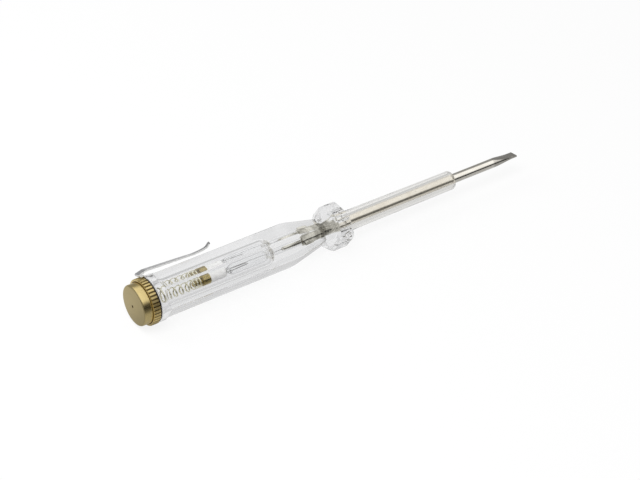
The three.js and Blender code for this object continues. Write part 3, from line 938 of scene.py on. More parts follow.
    def lay_moulding(self, coat: Coat, spot: Spot) -> None:
        """Lays the blade's paler stretch in the plastic on, with random stains and a ring of painted
        shade in the guard.

        Args:
            coat: What is changed.
            spot: Where the shaded point lies.
        """
        graph = coat.graph
        bedded = graph.past(spot.place, self.moulded_place, (self.moulded_edge, 0.0))
        # A ring of painted shade in the guard, joined with random stains from the smudges.
        ring = graph.near(spot.place, self.shade_ring_place, self.shade_ring_reach, self.shade_ring_share)
        stain_and_shade = graph.math("MAXIMUM", ring, graph.math("MULTIPLY", spot.smudge, self.stained_smudges))
        coat.lay(bedded, graph.mix(stain_and_shade, self.moulded_colour, self.stain_and_shade_colour))

    def lay_grinding(self, coat: Coat, spot: Spot) -> None:
        """Lays the blade's duller ground tip on.

        Args:
            coat: What is changed.
            spot: Where the shaded point lies.
        """
        ground = coat.graph.past(spot.place, self.ground_place, (0.0, self.ground_edge))
        coat.lay(ground, coat.graph.mix(spot.rings, self.ground_colour, self.colour))


@dataclass(frozen=True)
class Clear:
    """A clear plastic or glass, a little uneven and smudged, that lets the light of lamps through."""

    name: str
    colour: Colour
    ior: float
    roughness: float = 0.02
    smudged_roughness: float = 0.08
    smudge_edge: Span = (0.1, 0.8)
    smudge_per_metre: float = 150.0
    lines_per_metre: float = 2500.0
    lines_along: float = 0.03
    line_depth: float = 0.0
    wave_per_metre: float = 120.0
    wave_detail: float = 1.0
    wave_depth: float = 0.00002
    shade: Colour = (0.86, 0.86, 0.86)

    def build(self, effects: Effects) -> bpy.types.Material:
        """Builds the material.

        Args:
            effects: The shared node groups.

        Returns:
            The material.
        """
        material = bpy.data.materials.new(self.name)
        graph = emptied(material)
        vector = graph.add("ShaderNodeTexCoord").outputs["Object"]
        smudge = graph.effect(effects.handling, vector, self.smudge_per_metre)["Smudge"]
        drawing = graph.effect(effects.drawing, vector, self.lines_per_metre, Along=self.lines_along)
        lines = drawing["Height"]
        mask = graph.math("MULTIPLY", smudge, lines)
        wave = graph.noise(vector, self.wave_per_metre, self.wave_detail)
        normal = graph.bump(self.wave_depth, wave)
        if self.line_depth > 0:
            normal = graph.bump(self.line_depth, lines, normal)
        inputs = {
            "Base Color": self.colour,
            "Roughness": graph.ramp(mask, *self.smudge_edge, self.roughness, self.smudged_roughness),
            "IOR": self.ior,
            "Transmission Weight": 1.0,
            "Normal": normal,
        }
        shader = graph.add("ShaderNodeBsdfPrincipled", inputs).outputs[0]
        lit = graph.add("ShaderNodeBsdfTransparent", {"Color": self.shade}).outputs[0]
        shadow = graph.add("ShaderNodeLightPath").outputs["Is Shadow Ray"]
        mixed = graph.add("ShaderNodeMixShader", {0: shadow, 1: shader, 2: lit})
        graph.add("ShaderNodeOutputMaterial", {"Surface": mixed.outputs[0]})
        return material


@dataclass(frozen=True)
class Glaze:
    """A glazed ceramic with faint mottling and a few dark specks."""

    name: str
    colour: Colour
    mottle: Colour
    roughness: float = 0.35
    mottled_roughness: float = 0.5
    mottle_per_metre: float = 900.0
    speck_colour: Colour = (0.35, 0.32, 0.28)
    speck_share: float = 0.25
    grain_per_metre: float = 6000.0
    grain_detail: float = 2.0
    grain_depth: float = 0.000006

    def build(self, effects: Effects) -> bpy.types.Material:
        """Builds the material.

        Args:
            effects: The shared node groups.

        Returns:
            The material.
        """
        material = bpy.data.materials.new(self.name)
        graph = emptied(material)
        vector = graph.add("ShaderNodeTexCoord").outputs["Object"]
        handling = graph.effect(effects.handling, vector, self.mottle_per_metre)
        colour = graph.mix(handling["Smudge"], self.colour, self.mottle)
        dark = graph.math("MULTIPLY", handling["Speck"], self.speck_share)
        grain = graph.noise(vector, self.grain_per_metre, self.grain_detail)
        inputs = {
            "Base Color": graph.mix(dark, colour, self.speck_colour),
            "Roughness": graph.ramp(handling["Smudge"], 0.0, 1.0, self.roughness, self.mottled_roughness),
            "Normal": graph.bump(self.grain_depth, grain),
        }
        shader = graph.add("ShaderNodeBsdfPrincipled", inputs)
        graph.add("ShaderNodeOutputMaterial", {"Surface": shader.outputs[0]})
        return material


class Finishes:
    """Every finish of the tool, as a material."""

    def __init__(self) -> None:
        """Builds the shared effects and each material."""
        effects = Effects()
        acrylic = Clear("clear_acrylic", (0.965, 0.967, 0.972), 1.49)
        sleeve = Clear(
            "sleeve_vinyl",
            (0.975, 0.965, 0.94),
            1.53,
            roughness=0.03,
            wave_depth=0.000005,
            line_depth=0.000002,
        )
        glass = Clear("lamp_glass", (0.99, 0.992, 0.992), 1.25)
        brass = Metal(
            "turned_brass",
            (0.7, 0.56, 0.26),
            (0.5, 0.39, 0.17),
            roughness=0.26,
            dull_roughness=0.38,
            # The knurl's grooves, the corner behind the button, the face and the punch mark's pit are
            # painted darker as shade.
            groove_radius=6.8,
            groove_height=0.24,
            face_place=0.75,
            face_shade_colour=(0.48, 0.405, 0.225),
        )
        pressed_brass = Metal(
            "pressed_brass",
            (0.46, 0.37, 0.15),
            (0.05, 0.04, 0.02),
            roughness=0.14,
            turned_depth=0.00001,
            smudge_per_metre=1200.0,
        )
        nickel = Metal(
            "bright_nickel",
            (0.86, 0.83, 0.76),
            (0.66, 0.61, 0.52),
            roughness=0.14,
            dull_roughness=0.26,
            turned_depth=0.000001,
            drawn_depth=0.000003,
            ground_place=PLACES.grind_start,
            # The moulded stretch has random stains and a ring of painted shade in the guard.
            moulded_place=PLACES.sleeve_start,
        )
        clip_steel = Metal(
            "clip_steel",
            (0.68, 0.68, 0.69),
            (0.46, 0.46, 0.47),
            roughness=0.2,
            turned_depth=0.000001,
            drawn_depth=0.000002,
            # The ring's edge is painted dark as shade.
            rim_radius=6.8,
            shorn_reach=0.1,
        )
        spring_wire = Metal(
            "spring_wire", (0.9, 0.87, 0.7), (0.2, 0.18, 0.09), roughness=0.1, smudge_per_metre=1400.0
        )
        tinned = Metal(
            "tinned_wire", (0.36, 0.36, 0.35), (0.16, 0.16, 0.15), roughness=0.32, smudge_per_metre=900.0
        )
        electrode = Metal(
            "dark_nickel", (0.32, 0.31, 0.3), (0.14, 0.14, 0.14), roughness=0.42, smudge_per_metre=900.0
        )
        ceramic = Glaze("ceramic_glaze", (0.88, 0.88, 0.865), (0.8, 0.79, 0.77))
        self.acrylic = acrylic.build(effects)
        self.sleeve = sleeve.build(effects)
        self.glass = glass.build(effects)
        self.brass = brass.build(effects)
        self.pressed_brass = pressed_brass.build(effects)
        self.nickel = nickel.build(effects)
        self.clip_steel = clip_steel.build(effects)
        self.spring_wire = spring_wire.build(effects)
        self.tinned = tinned.build(effects)
        self.electrode = electrode.build(effects)
        self.ceramic = ceramic.build(effects)


@dataclass
class ScrewCap:
    """The brass cap: a domed button with a punch mark, a knurled flange and a threaded hollow."""

    face_start: float = 0.006
    button_radius: float = 6.25
    edge_radius: float = 0.6
    edge_steps: int = 8
    dome_rise: float = 0.3
    dome_steps: int = 10
    button_sides: int = 120
    punch_radius: float = 0.45
    punch_depth: float = 0.35
    punch_sides: int = 24
    flange_radius: float = 7.095
    flange_chamfer: float = 0.14
    teeth: int = 40
    points_per_tooth: int = 8
    tooth_depth: float = 0.3
    tooth_half: float = 0.3
    tooth_round: float = 0.035
    tooth_round_steps: int = 2
    tooth_angle: float = math.radians(30)
    end_wall: float = 1.4
    relief_length: float = 0.9
    relief_sides: int = 72
    thread_clearance: float = 0.15

    def button(self) -> BMesh:
        """Makes the plain button.

        Returns:
            The button, which runs on through the flange.
        """
        face_radius = self.button_radius - self.edge_radius
        shares = [step / self.dome_steps for step in range(self.dome_steps + 1)]
        dome = [(self.face_start + self.dome_rise * share**2, face_radius * share) for share in shares]
        dome_end = self.face_start + self.dome_rise
        edge = rear_corner(dome_end, self.button_radius, self.edge_radius, self.edge_steps)
        end = [(PLACES.flange_end, self.button_radius), (PLACES.flange_end, 0.0)]
        return turned([*dome, *edge[1:], *end], self.button_sides)

    def flange(self) -> BMesh:
        """Makes the knurled flange.

        Returns:
            The flange, with a tooth at the bottom of the tool.
        """
        radius, chamfer = self.flange_radius, self.flange_chamfer
        stations = [
            (PLACES.flange_start, radius - chamfer),
            (PLACES.flange_start + chamfer, radius),
            (PLACES.flange_end - chamfer, radius),
            (PLACES.flange_end, radius - chamfer),
        ]
        shape = lofted(stations, self.teeth * self.points_per_tooth)
        foot = (radius - self.tooth_depth) / radius
        for vert in shape.verts:
            share = math.atan2(vert.co.y, -vert.co.z) / FULL_TURN * self.teeth
            if abs(share - round(share)) > self.tooth_half:
                vert.co.y *= foot
                vert.co.z *= foot
        edges = sharp_edges(shape, self.tooth_angle)
        soften(shape, edges, self.tooth_round, self.tooth_round_steps)
        return shape

    def hollow(self) -> list[BMesh]:
        """Makes the solids that are cut out of the cap.

        Returns:
            The punch mark, the relief and the thread.
        """
        thread = Thread()
        radius = thread.crest_radius + self.thread_clearance
        punch = [
            (-OVERRUN, 0.0),
            (-OVERRUN, self.punch_radius),
            (0.0, self.punch_radius),
            (self.punch_depth, 0.0),
        ]
        relief = cylinder(self.end_wall, self.end_wall + self.relief_length, radius, self.relief_sides)
        nut = thread.rod(self.end_wall + self.relief_length / 2, PLACES.flange_end + OVERRUN, radius)
        return [turned(punch, self.punch_sides), relief, nut]

    def build(self, finishes: Finishes) -> None:
        """Builds and dresses the cap.

        Args:
            finishes: The tool's finishes.
        """
        cap = solid(self.button())
        combine(cap, solid(self.flange()), Cut.JOIN)
        for shape in self.hollow():
            combine(cap, solid(shape), Cut.TAKE)
        carry(cap, "cap_of_brass")
        mount(cap, finishes.brass, "screw_cap", Body.CAP)


@dataclass
class Thread:
    """The rounded thread that the cap and the spigot share."""

    crest_radius: float = 5.0
    depth: float = 0.5
    pitch: float = 1.0
    length: float = 3.2
    lead_in: float = 0.4
    rows_per_pitch: int = 12
    sides: int = 72

    def rod(self, start: float, end: float, crest_radius: float) -> BMesh:
        """Makes a threaded rod whose helix passes through the cap's face.

        Args:
            start: Where the rod starts.
            end: Where it ends.
            crest_radius: The radius of its crests.

        Returns:
            The rod.
        """
        rows = math.ceil((end - start) / self.pitch * self.rows_per_pitch)
        stations = [(start + (end - start) * row / rows, crest_radius) for row in range(rows + 1)]
        shape = lofted(stations, self.sides)
        for vert in shape.verts:
            turn_share = math.atan2(vert.co.z, vert.co.y) / FULL_TURN
            phase = FULL_TURN * (vert.co.x / self.pitch - turn_share)
            share = 1 - self.depth * (1 - math.cos(phase)) / (2 * crest_radius)
            vert.co.y *= share
            vert.co.z *= share
        return shape


@dataclass
class Handle:
    """The clear moulding: a threaded spigot, a round boss, a hexagonal grip, a nose and a guard."""

    facets: int = 6
    boss_radius: float = 7.0
    grip_flat_radius: float = 6.0
    run_out_radius: float = 3.0
    run_out_end: float = 1.0
    run_out_steps: int = 10
    nose_round_length: float = 3.6
    nose_round_drop: float = 0.42
    nose_steps: int = 8
    neck_flat_radius: float = 3.75
    band_flat_radius: float = 6.4
    front_flat_radius: float = 4.7
    rear_corner_cut: float = 0.9
    front_corner_cut: float = 0.3
    bore_radius: float = 3.4
    dome_start: float = 43.6
    dome_steps: int = 24
    tail_hole_radius: float = 1.05
    sleeve_hole_radius: float = 3.3
    seat_gap: float = 0.1
    edge_round: float = 0.3
    edge_steps: int = 3
    boss_edge_round: float = 0.25
    boss_edge_steps: int = 5
    boss_sides: int = 144
    smooth_angle: float = math.radians(21)
    face_weight: int = 100

    @property
    def half_facet(self) -> float:
        """Half the angle of one facet."""
        return math.pi / self.facets

    def flats(self) -> list[Point]:
        """Lays out the faceted body, from the boss to the guard.

        Returns:
            The body's stations as (place, distance to a flat).
        """
        rise = self.boss_radius + OVERRUN - self.grip_flat_radius
        reach = math.sqrt(self.run_out_radius**2 - (self.run_out_radius - rise) ** 2)
        run_out = []
        for step in range(self.run_out_steps + 1):
            back = reach * (1 - step / self.run_out_steps)
            drop = math.sqrt(self.run_out_radius**2 - back**2)
            distance = self.grip_flat_radius + self.run_out_radius - drop
            run_out.append((PLACES.grip_start + self.run_out_end - back, distance))
        nose = []
        for step in range(self.nose_steps + 1):
            share = step / self.nose_steps
            distance = self.grip_flat_radius - self.nose_round_drop * share**2
            nose.append((PLACES.nose_start + self.nose_round_length * share, distance))
        return [
            (PLACES.boss_start, self.boss_radius + OVERRUN),
            *run_out,
            *nose,
            (PLACES.neck, self.neck_flat_radius),
            (PLACES.band_start, self.band_flat_radius),
            (PLACES.band_end, self.band_flat_radius),
            (PLACES.guard_end, self.front_flat_radius),
        ]

    def corner_cuts(self) -> list[Point]:
        """Lays out the planes that cut the guard's corners.

        Returns:
            The stations as (place, distance to a plane).
        """
        to_corner = 1 / math.cos(self.half_facet)
        open_radius = self.boss_radius + OVERRUN
        return [
            (PLACES.boss_start - OVERRUN, open_radius),
            (PLACES.neck - WELD, open_radius),
            (PLACES.neck, self.neck_flat_radius * to_corner),
            (PLACES.band_start + self.rear_corner_cut, self.band_flat_radius * to_corner),
            (PLACES.band_end - self.front_corner_cut, self.band_flat_radius * to_corner),
            (PLACES.guard_end + OVERRUN, self.front_flat_radius),
        ]

    def prism(self, flats: Sequence[Point], turn: float) -> BMesh:
        """Returns a faceted solid through (place, distance to a flat)."""
        to_corner = 1 / math.cos(self.half_facet)
        return lofted([(place, distance * to_corner) for place, distance in flats], self.facets, turn)

    def envelope(self) -> BMesh:
        """Makes the round stock that the boss and the corners are left of.

        Returns:
            The stock, with a rounded rear edge.
        """
        start, end = PLACES.boss_start, PLACES.guard_end + OVERRUN
        corner = rear_corner(start, self.boss_radius, self.boss_edge_round, self.boss_edge_steps)
        return turned([(start, 0.0), *corner, (end, self.boss_radius), (end, 0.0)], self.boss_sides)

    def spigot(self) -> bpy.types.Object:
        """Makes the spigot: a threaded end with a tapered lead-in and a plain neck.

        The neck and the thread share faces at the thread's end. In some runs their join fails
        there without an error, and the handle's body is lost. A neck that starts 0.01 mm before the
        thread's end and is 0.01 mm wider would not share these faces.

        Returns:
            The spigot.
        """
        thread = Thread()
        start, end = PLACES.spigot_start, PLACES.spigot_start + thread.length
        root = thread.crest_radius - thread.depth
        spigot = solid(thread.rod(start, end, thread.crest_radius))
        trim = [(start, 0.0), (start, root), (start + thread.lead_in, thread.crest_radius)]
        trim += [(end, thread.crest_radius), (end, 0.0)]
        combine(spigot, solid(turned(trim)), Cut.KEEP)
        boss = PLACES.boss_start + OVERRUN
        neck = [(end - thread.lead_in, 0.0), (end - thread.lead_in, root), (end, root)]
        neck += [(end, thread.crest_radius), (boss, thread.crest_radius), (boss, 0.0)]
        combine(spigot, solid(turned(neck)), Cut.JOIN)
        return spigot

    def bore_bottom(self) -> list[Point]:
        """Returns the bore's round end, down to the tail's hole, as (place, radius)."""
        last = math.asin(self.tail_hole_radius / self.bore_radius)
        return arc((self.dome_start, 0.0), self.bore_radius, math.pi / 2, last, self.dome_steps)

    def hollows(self) -> list[BMesh]:
        """Makes the solids that are cut out of the handle.

        Returns:
            The bore with its round end and the tail's hole, and the seat of the sleeve.
        """
        start = PLACES.spigot_start - OVERRUN
        bore = [
            (start, 0.0),
            (start, self.bore_radius),
            *self.bore_bottom(),
            (PLACES.shank_start, self.tail_hole_radius),
            (PLACES.shank_start, 0.0),
        ]
        seat_start, seat_end = PLACES.sleeve_start - self.seat_gap, PLACES.guard_end + OVERRUN
        return [turned(bore), cylinder(seat_start, seat_end, self.sleeve_hole_radius)]

    def build(self, finishes: Finishes) -> None:
        """Builds and dresses the handle.

        Args:
            finishes: The tool's finishes.
        """
        shape = self.prism(self.flats(), 0.0)
        soften(shape, long_edges(shape), self.edge_round, self.edge_steps)
        handle = solid(shape)
        combine(handle, solid(self.prism(self.corner_cuts(), self.half_facet)), Cut.KEEP)
        combine(handle, solid(self.envelope()), Cut.KEEP)
        combine(handle, self.spigot(), Cut.JOIN)
        for hollow in self.hollows():
            combine(handle, solid(hollow), Cut.TAKE)
        carry(handle, "handle_of_acrylic", self.smooth_angle)
        even = handle.modifiers.new("even_facets", "WEIGHTED_NORMAL")
        even.keep_sharp = True
        even.weight = self.face_weight
        settle(handle)
        mount(handle, finishes.acrylic, "handle")


@dataclass
class Blade:
    """The steel blade: a shank with a reduced tail, two anchoring wings and a ground tip."""

    shank_radius: float = 1.5
    tail_radius: float = 0.95
    tail_chamfer: float = 0.25
    bedding: float = 0.02
    wing_length: float = 3.4
    wing_span: float = 4.4
    wing_thickness: float = 1.2
    wing_round: float = 0.25
    tip_thickness: float = 0.5
    grind_curve: float = 1.5
    grind_steps: int = 20
    tip_turn: float = math.radians(-11)
    edge_round: float = 0.04
    edge_steps: int = 2
    edge_angle: float = math.radians(28)

    def stock(self) -> BMesh:
        """Makes the round stock with its reduced tail.

        Returns:
            The stock.
        """
        tail, shank = PLACES.tail_start, PLACES.shank_start - self.bedding
        outline = [
            (tail, 0.0),
            (tail, self.tail_radius - self.tail_chamfer),
            (tail + self.tail_chamfer, self.tail_radius),
            (shank, self.tail_radius),
            (shank, self.shank_radius - self.tail_chamfer),
            (shank + self.tail_chamfer, self.shank_radius),
            (PLACES.tip_end, self.shank_radius),
            (PLACES.tip_end, 0.0),
        ]
        return turned(outline)

    def wings(self) -> BMesh:
        """Returns the flattened wings that anchor the shank in the plastic."""
        size = (self.wing_length, self.wing_span, self.wing_thickness)
        return block(size, PLACES.wing_start + self.wing_length / 2, self.wing_round)

    def grind(self) -> BMesh:
        """Makes the flat stock that trims the tip from both sides.

        Returns:
            The stock, which narrows to the tip's thin parallel end.
        """
        half = self.tip_thickness / 2
        clear = self.wing_span
        length = PLACES.tip_flat_start - PLACES.grind_start
        upper = [(PLACES.tail_start - OVERRUN, clear), (PLACES.grind_start, clear)]
        for step in range(self.grind_steps + 1):
            share = step / self.grind_steps
            height = half + (self.shank_radius - half) * (1 - share) ** self.grind_curve
            upper.append((PLACES.grind_start + length * share, height))
        upper.append((PLACES.tip_end + OVERRUN, half))
        outline = upper + [(place, -height) for place, height in reversed(upper)]
        shape = bmesh.new()
        side = shape.faces.new([shape.verts.new((place, -clear, height)) for place, height in outline])
        far = points_in(bmesh.ops.extrude_face_region(shape, geom=[side])["geom"])
        bmesh.ops.translate(shape, verts=far, vec=(0.0, 2 * clear, 0.0))
        turn = Matrix.Rotation(self.tip_turn, 3, "X")
        bmesh.ops.rotate(shape, verts=shape.verts[:], cent=ORIGIN, matrix=turn)
        bmesh.ops.recalc_face_normals(shape, faces=shape.faces[:])
        return shape

    def build(self, finishes: Finishes) -> None:
        """Builds and dresses the blade.

        Args:
            finishes: The tool's finishes.
        """
        blade = solid(self.stock())
        combine(blade, solid(self.wings()), Cut.JOIN)
        combine(blade, solid(self.grind()), Cut.KEEP)
        round_edges(blade, self.edge_round, self.edge_steps, self.edge_angle)
        carry(blade, "blade_of_nickel")
        mount(blade, finishes.nickel, "blade")


@dataclass
class Sleeve:
    """The clear sleeve on the blade: a tapering tube with a rounded front end."""

    inner_radius: float = 1.6
    base_radius: float = 3.2
    end_radius: float = 3.0
    end_round: float = 0.7
    end_steps: int = 10
    rear_round: float = 0.15
    rear_steps: int = 3
    sides: int = 160

    def build(self, finishes: Finishes) -> None:
        """Builds and dresses the sleeve.

        Args:
            finishes: The tool's finishes.
        """
        start, end = PLACES.sleeve_start, PLACES.sleeve_end
        rear = rear_corner(start, self.base_radius, self.rear_round, self.rear_steps)
        front = front_corner(end, self.end_radius, self.end_round, self.end_steps)
        outline = [(start, self.inner_radius), *rear, *front, (end, self.inner_radius)]
        sleeve = solid(turned(outline, self.sides, closed=True))
        carry(sleeve, "sleeve_of_vinyl")
        mount(sleeve, finishes.sleeve, "blade_sleeve")


@dataclass
class PocketClip:
    """The steel clip: a ring with the fold at its root, and the sprung leaf."""

    thickness: float = 0.4
    ring_radius: float = 6.8
    hole_radius: float = 5.15
    width: float = 3.2
    tip_width: float = 1.3
    first_bend_radius: float = 0.4
    first_bend_steps: int = 8
    run_height: float = 7.6
    root_run: float = 0.7
    leaf_root_rise: float = 0.6
    fold_steps: int = 12
    heel_reach: float = 1.95
    heel_rise: float = 0.45
    heel_steps: int = 10
    leaf_length: float = 14.1
    leaf_drop: float = 0.66
    leaf_steps: int = 24
    bump_reach: float = 2.6
    bump_drop: float = 0.1
    flare_reach: float = 3.9
    flare_rise: float = 0.4
    tip_reach: float = 1.6
    tip_rise: float = 1.2
    tip_steps: int = 14
    tip_share: float = 0.999
    turn: float = math.radians(-30)
    edge_round: float = 0.08
    edge_steps: int = 4
    edge_angle: float = math.radians(50)
    ring_edge_round: float = 0.07
    ring_edge_steps: int = 2
    smooth_angle: float = math.radians(35)
    across_steps: int = 6
    blend_length: float = 0.9
    heel: Point = field(init=False)

    def __post_init__(self) -> None:
        """Works out where the leaf leaves the heel."""
        root = self.fold_line()[-1]
        self.heel = (root[0] + self.heel_reach, root[1] + self.heel_rise)

    def fold_line(self) -> list[Point]:
        """Lays the strip's middle line from the ring to the end of the fold.

        Returns:
            The points as (place, height).
        """
        ring_place = PLACES.ring_start + self.thickness / 2
        bend = self.first_bend_radius
        turn_place = ring_place - bend - self.root_run
        corner = (ring_place - bend, self.run_height - bend)
        first = arc(corner, bend, 0.0, math.pi / 2, self.first_bend_steps)
        root_radius = self.leaf_root_rise / 2
        centre = (turn_place, self.run_height + root_radius)
        second = arc(centre, root_radius, 3 * math.pi / 2, math.pi / 2, self.fold_steps)
        return [(ring_place, (self.hole_radius + self.ring_radius) / 2), *first, *second]

    def leaf_line(self) -> list[Point]:
        """Lays the leaf's middle line from the fold's end to its flared tip.

        Returns:
            The points as (place, height).
        """
        arm_end = (self.heel[0] + self.leaf_length, self.heel[1] - self.leaf_drop)
        bump = (arm_end[0] + self.bump_reach, arm_end[1] - self.bump_drop)
        flare = (bump[0] + self.flare_reach, bump[1] + self.flare_rise)
        tip = (flare[0] + self.tip_reach, flare[1] + self.tip_rise)
        knots = [Vector(point) for point in (arm_end, bump, flare, tip)]
        root, heel = Vector(self.fold_line()[-1]), Vector(self.heel)
        rise = [root.lerp(heel, step / self.heel_steps) for step in range(self.heel_steps)]
        arm = [heel.lerp(knots[0], step / self.leaf_steps) for step in range(self.leaf_steps)]
        return [tuple(point) for point in (*rise, *arm, *smooth_line(knots, self.tip_steps))]

    def strip(
        self, line: Sequence[Point], width_at: Callable[[float], float], name: str
    ) -> bpy.types.Object:
        """Makes a strip of the clip's thickness along a middle line.

        Args:
            line: The middle line, as (place, height).
            width_at: The strip's width at a place.
            name: The object's name.

        Returns:
            The strip, with square edges.
        """
        shape = bmesh.new()
        points = [shape.verts.new((place, -0.5, height)) for place, height in line]
        edges = [shape.edges.new(pair) for pair in pairwise(points)]
        for _ in range(self.across_steps):
            made = bmesh.ops.extrude_edge_only(shape, edges=edges)["geom"]
            moved = set(points_in(made))
            bmesh.ops.translate(shape, verts=list(moved), vec=(0.0, 1.0 / self.across_steps, 0.0))
            lines = [item for item in made if isinstance(item, bmesh.types.BMEdge)]
            edges = [edge for edge in lines if moved.issuperset(edge.verts)]
        for vert in shape.verts:
            vert.co.y *= width_at(vert.co.x)
        bmesh.ops.recalc_face_normals(shape, faces=shape.faces[:])
        piece = solid(shape, name)
        wall = piece.modifiers.new("wall", "SOLIDIFY")
        wall.thickness = self.thickness
        wall.offset = 0.0
        wall.use_even_offset = True
        settle(piece)
        return piece

    def leaf_width(self, place: float) -> float:
        """Works out the leaf's width: a straight taper with a round tip.

        Args:
            place: The place along the tool.

        Returns:
            The width there.
        """
        line_end = self.leaf_line()[-1][0]
        start = self.fold_line()[-1][0]
        tip_radius = self.tip_width / 2
        centre = line_end - tip_radius
        if place < centre:
            share = (place - start) / (centre - start)
            return self.width + (self.tip_width - self.width) * share
        rest = min(place - centre, tip_radius * self.tip_share)
        return 2 * math.sqrt(tip_radius**2 - rest**2)

    def build(self, finishes: Finishes) -> None:
        """Builds and dresses the ring with its fold, and the leaf that bends away from it.

        Args:
            finishes: The tool's finishes.
        """
        half = self.thickness / 2
        middle = PLACES.ring_start + half
        washer = [
            (middle - half, self.hole_radius),
            (middle - half, self.ring_radius),
            (middle + half, self.ring_radius),
            (middle + half, self.hole_radius),
        ]
        shape = turned(washer, closed=True)
        soften(shape, sharp_edges(shape), self.ring_edge_round, self.ring_edge_steps)
        ring = solid(shape)
        fold = self.strip(self.fold_line(), lambda place: self.width, "fold")
        combine(ring, fold, Cut.JOIN)
        leaf = self.strip(self.leaf_line(), self.leaf_width, "leaf")
        round_edges(leaf, self.edge_round, self.edge_steps, self.edge_angle)
        for piece, name in ((ring, "clip_ring_of_steel"), (leaf, "clip_leaf_of_steel")):
            piece.data.transform(Matrix.Rotation(self.turn, 4, "X"))
            carry(piece, name, self.smooth_angle)
        mount(ring, finishes.clip_steel, "clip_ring", Body.RING)
        mount(leaf, finishes.clip_steel, "clip_arm", None)
        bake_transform(leaf)


def smooth_line(knots: Sequence[Vector], steps: int) -> list[Vector]:
    """Lays points on a smooth line through knots.

    Args:
        knots: The points that the line passes through.
        steps: How many steps the whole line takes.

    Returns:
        The points, both ends included.
    """
    padded = [knots[0], *knots, knots[-1]]
    spans = len(knots) - 1
    line = []
    for step in range(steps + 1):
        reach = spans * step / steps
        span = min(int(reach), spans - 1)
        share = reach - span
        before, start, end, after = padded[span : span + 4]
        leave, arrive = (end - before) / 2, (after - start) / 2
        square, cube = share**2, share**3
        line.append(
            start * (2 * cube - 3 * square + 1)
            + leave * (cube - 2 * square + share)
            + end * (3 * square - 2 * cube)
            + arrive * (cube - square)
        )
    return line


@dataclass
class ContactSpring:
    """The coil between the cap and the resistor, with close turns round the nipple."""

    coil_radius: float = 2.25
    wire_radius: float = 0.25
    free_turns: float = 8.5
    close_turns: float = 2.25
    close_pitch: float = 1.05
    steps_per_turn: int = 36
    wire_sides: int = 14
    smooth_angle: float = math.radians(40)

    def build(self, finishes: Finishes) -> None:
        """Builds and dresses the spring.

        Args:
            finishes: The tool's finishes.
        """
        start = PLACES.spring_start + self.wire_radius
        end = PLACES.spring_end - self.wire_radius
        close_length = self.close_turns * self.close_pitch
        shape = bmesh.new()
        radius, sides = self.wire_radius, self.wire_sides
        bmesh.ops.create_circle(shape, cap_ends=True, radius=radius, segments=sides)
        bmesh.ops.translate(shape, verts=shape.verts[:], vec=(start, self.coil_radius, 0.0))
        section = [*shape.verts, *shape.edges, *shape.faces]
        for turns, length in (
            (self.free_turns, end - start - close_length),
            (self.close_turns, close_length),
        ):
            steps = round(turns * self.steps_per_turn)
            section = bmesh.ops.spin(
                shape,
                geom=section,
                cent=ORIGIN,
                axis=ALONG,
                dvec=ALONG * (length / steps),
                angle=FULL_TURN * turns,
                steps=steps,
            )["geom_last"]
        bmesh.ops.remove_doubles(shape, verts=shape.verts[:], dist=WELD)
        bmesh.ops.recalc_face_normals(shape, faces=shape.faces[:])
        spring = solid(shape)
        carry(spring, "spring_of_wire", self.smooth_angle)
        mount(spring, finishes.spring_wire, "contact_spring", None)
        begin, end = at(PLACES.spring_start), at(PLACES.spring_end)
        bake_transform(spring)


@dataclass
class Resistor:
    """The resistor: a brass cap with a nipple, a white ceramic body and a small front cap."""

    cap_radius: float = 2.45
    body_radius: float = 2.3
    neck_radius: float = 2.0
    neck_length: float = 1.2
    cup_floor: float = 1.1
    cup_radius: float = 2.1
    nipple_radius: float = 1.4
    nipple_length: float = 2.5
    nipple_steps: int = 4
    edge: float = 0.25
    edge_steps: int = 5
    sides: int = 64
    front_radius: float = 1.5
    front_steps: int = 3
    front_sides: int = 48
    face_gap: float = 0.1

    def rear_cap(self) -> BMesh:
        """Makes the brass cap with the nipple that centres the spring.

        Returns:
            The cap.
        """
        shoulder, nipple = PLACES.shoulder, PLACES.shoulder - self.nipple_length
        rim = PLACES.body_start - self.face_gap
        nose = rear_corner(nipple, self.nipple_radius, self.edge, self.nipple_steps)
        brow = rear_corner(shoulder, self.cap_radius, self.edge, self.edge_steps)
        outline = [
            (nipple, 0.0),
            *nose,
            (shoulder, self.nipple_radius),
            *brow,
            (rim, self.cap_radius),
            (rim, self.cup_radius),
            (shoulder + self.cup_floor, self.cup_radius),
            (shoulder + self.cup_floor, 0.0),
        ]
        return turned(outline, self.sides)

    def body(self) -> BMesh:
        """Makes the ceramic body, with the neck that sits in the rear cap.

        Returns:
            The body.
        """
        start, end = PLACES.body_start, PLACES.body_end
        front = front_corner(end, self.body_radius, self.edge, self.edge_steps)
        outline = [
            (start - self.neck_length, 0.0),
            (start - self.neck_length, self.neck_radius),
            (start, self.neck_radius),
            (start, self.body_radius - self.face_gap),
            (start + self.face_gap, self.body_radius),
            *front,
            (end, 0.0),
        ]
        return turned(outline, self.sides)

    def front_cap(self) -> BMesh:
        """Makes the small cap in front of the ceramic.

        Returns:
            The cap.
        """
        start, end = PLACES.body_end + self.face_gap, PLACES.front_cap_end
        corner = front_corner(end, self.front_radius, self.face_gap, self.front_steps)
        return turned([(start, 0.0), (start, self.front_radius), *corner, (end, 0.0)], self.front_sides)

    def build(self, finishes: Finishes) -> None:
        """Builds and dresses the resistor's three pieces.

        Args:
            finishes: The tool's finishes.
        """
        for shape, name, finish, slot, node in (
            (self.rear_cap(), "resistor_cup", finishes.pressed_brass, Slot.BRASS, "resistor_rear_cap"),
            (self.body(), "resistor_ceramic", finishes.ceramic, Slot.CERAMIC, "resistor_body"),
            (self.front_cap(), "resistor_contact", finishes.tinned, Slot.TINNED, "resistor_front_cap"),
        ):
            piece = solid(shape)
            carry(piece, name)
            mount(piece, finish, node)


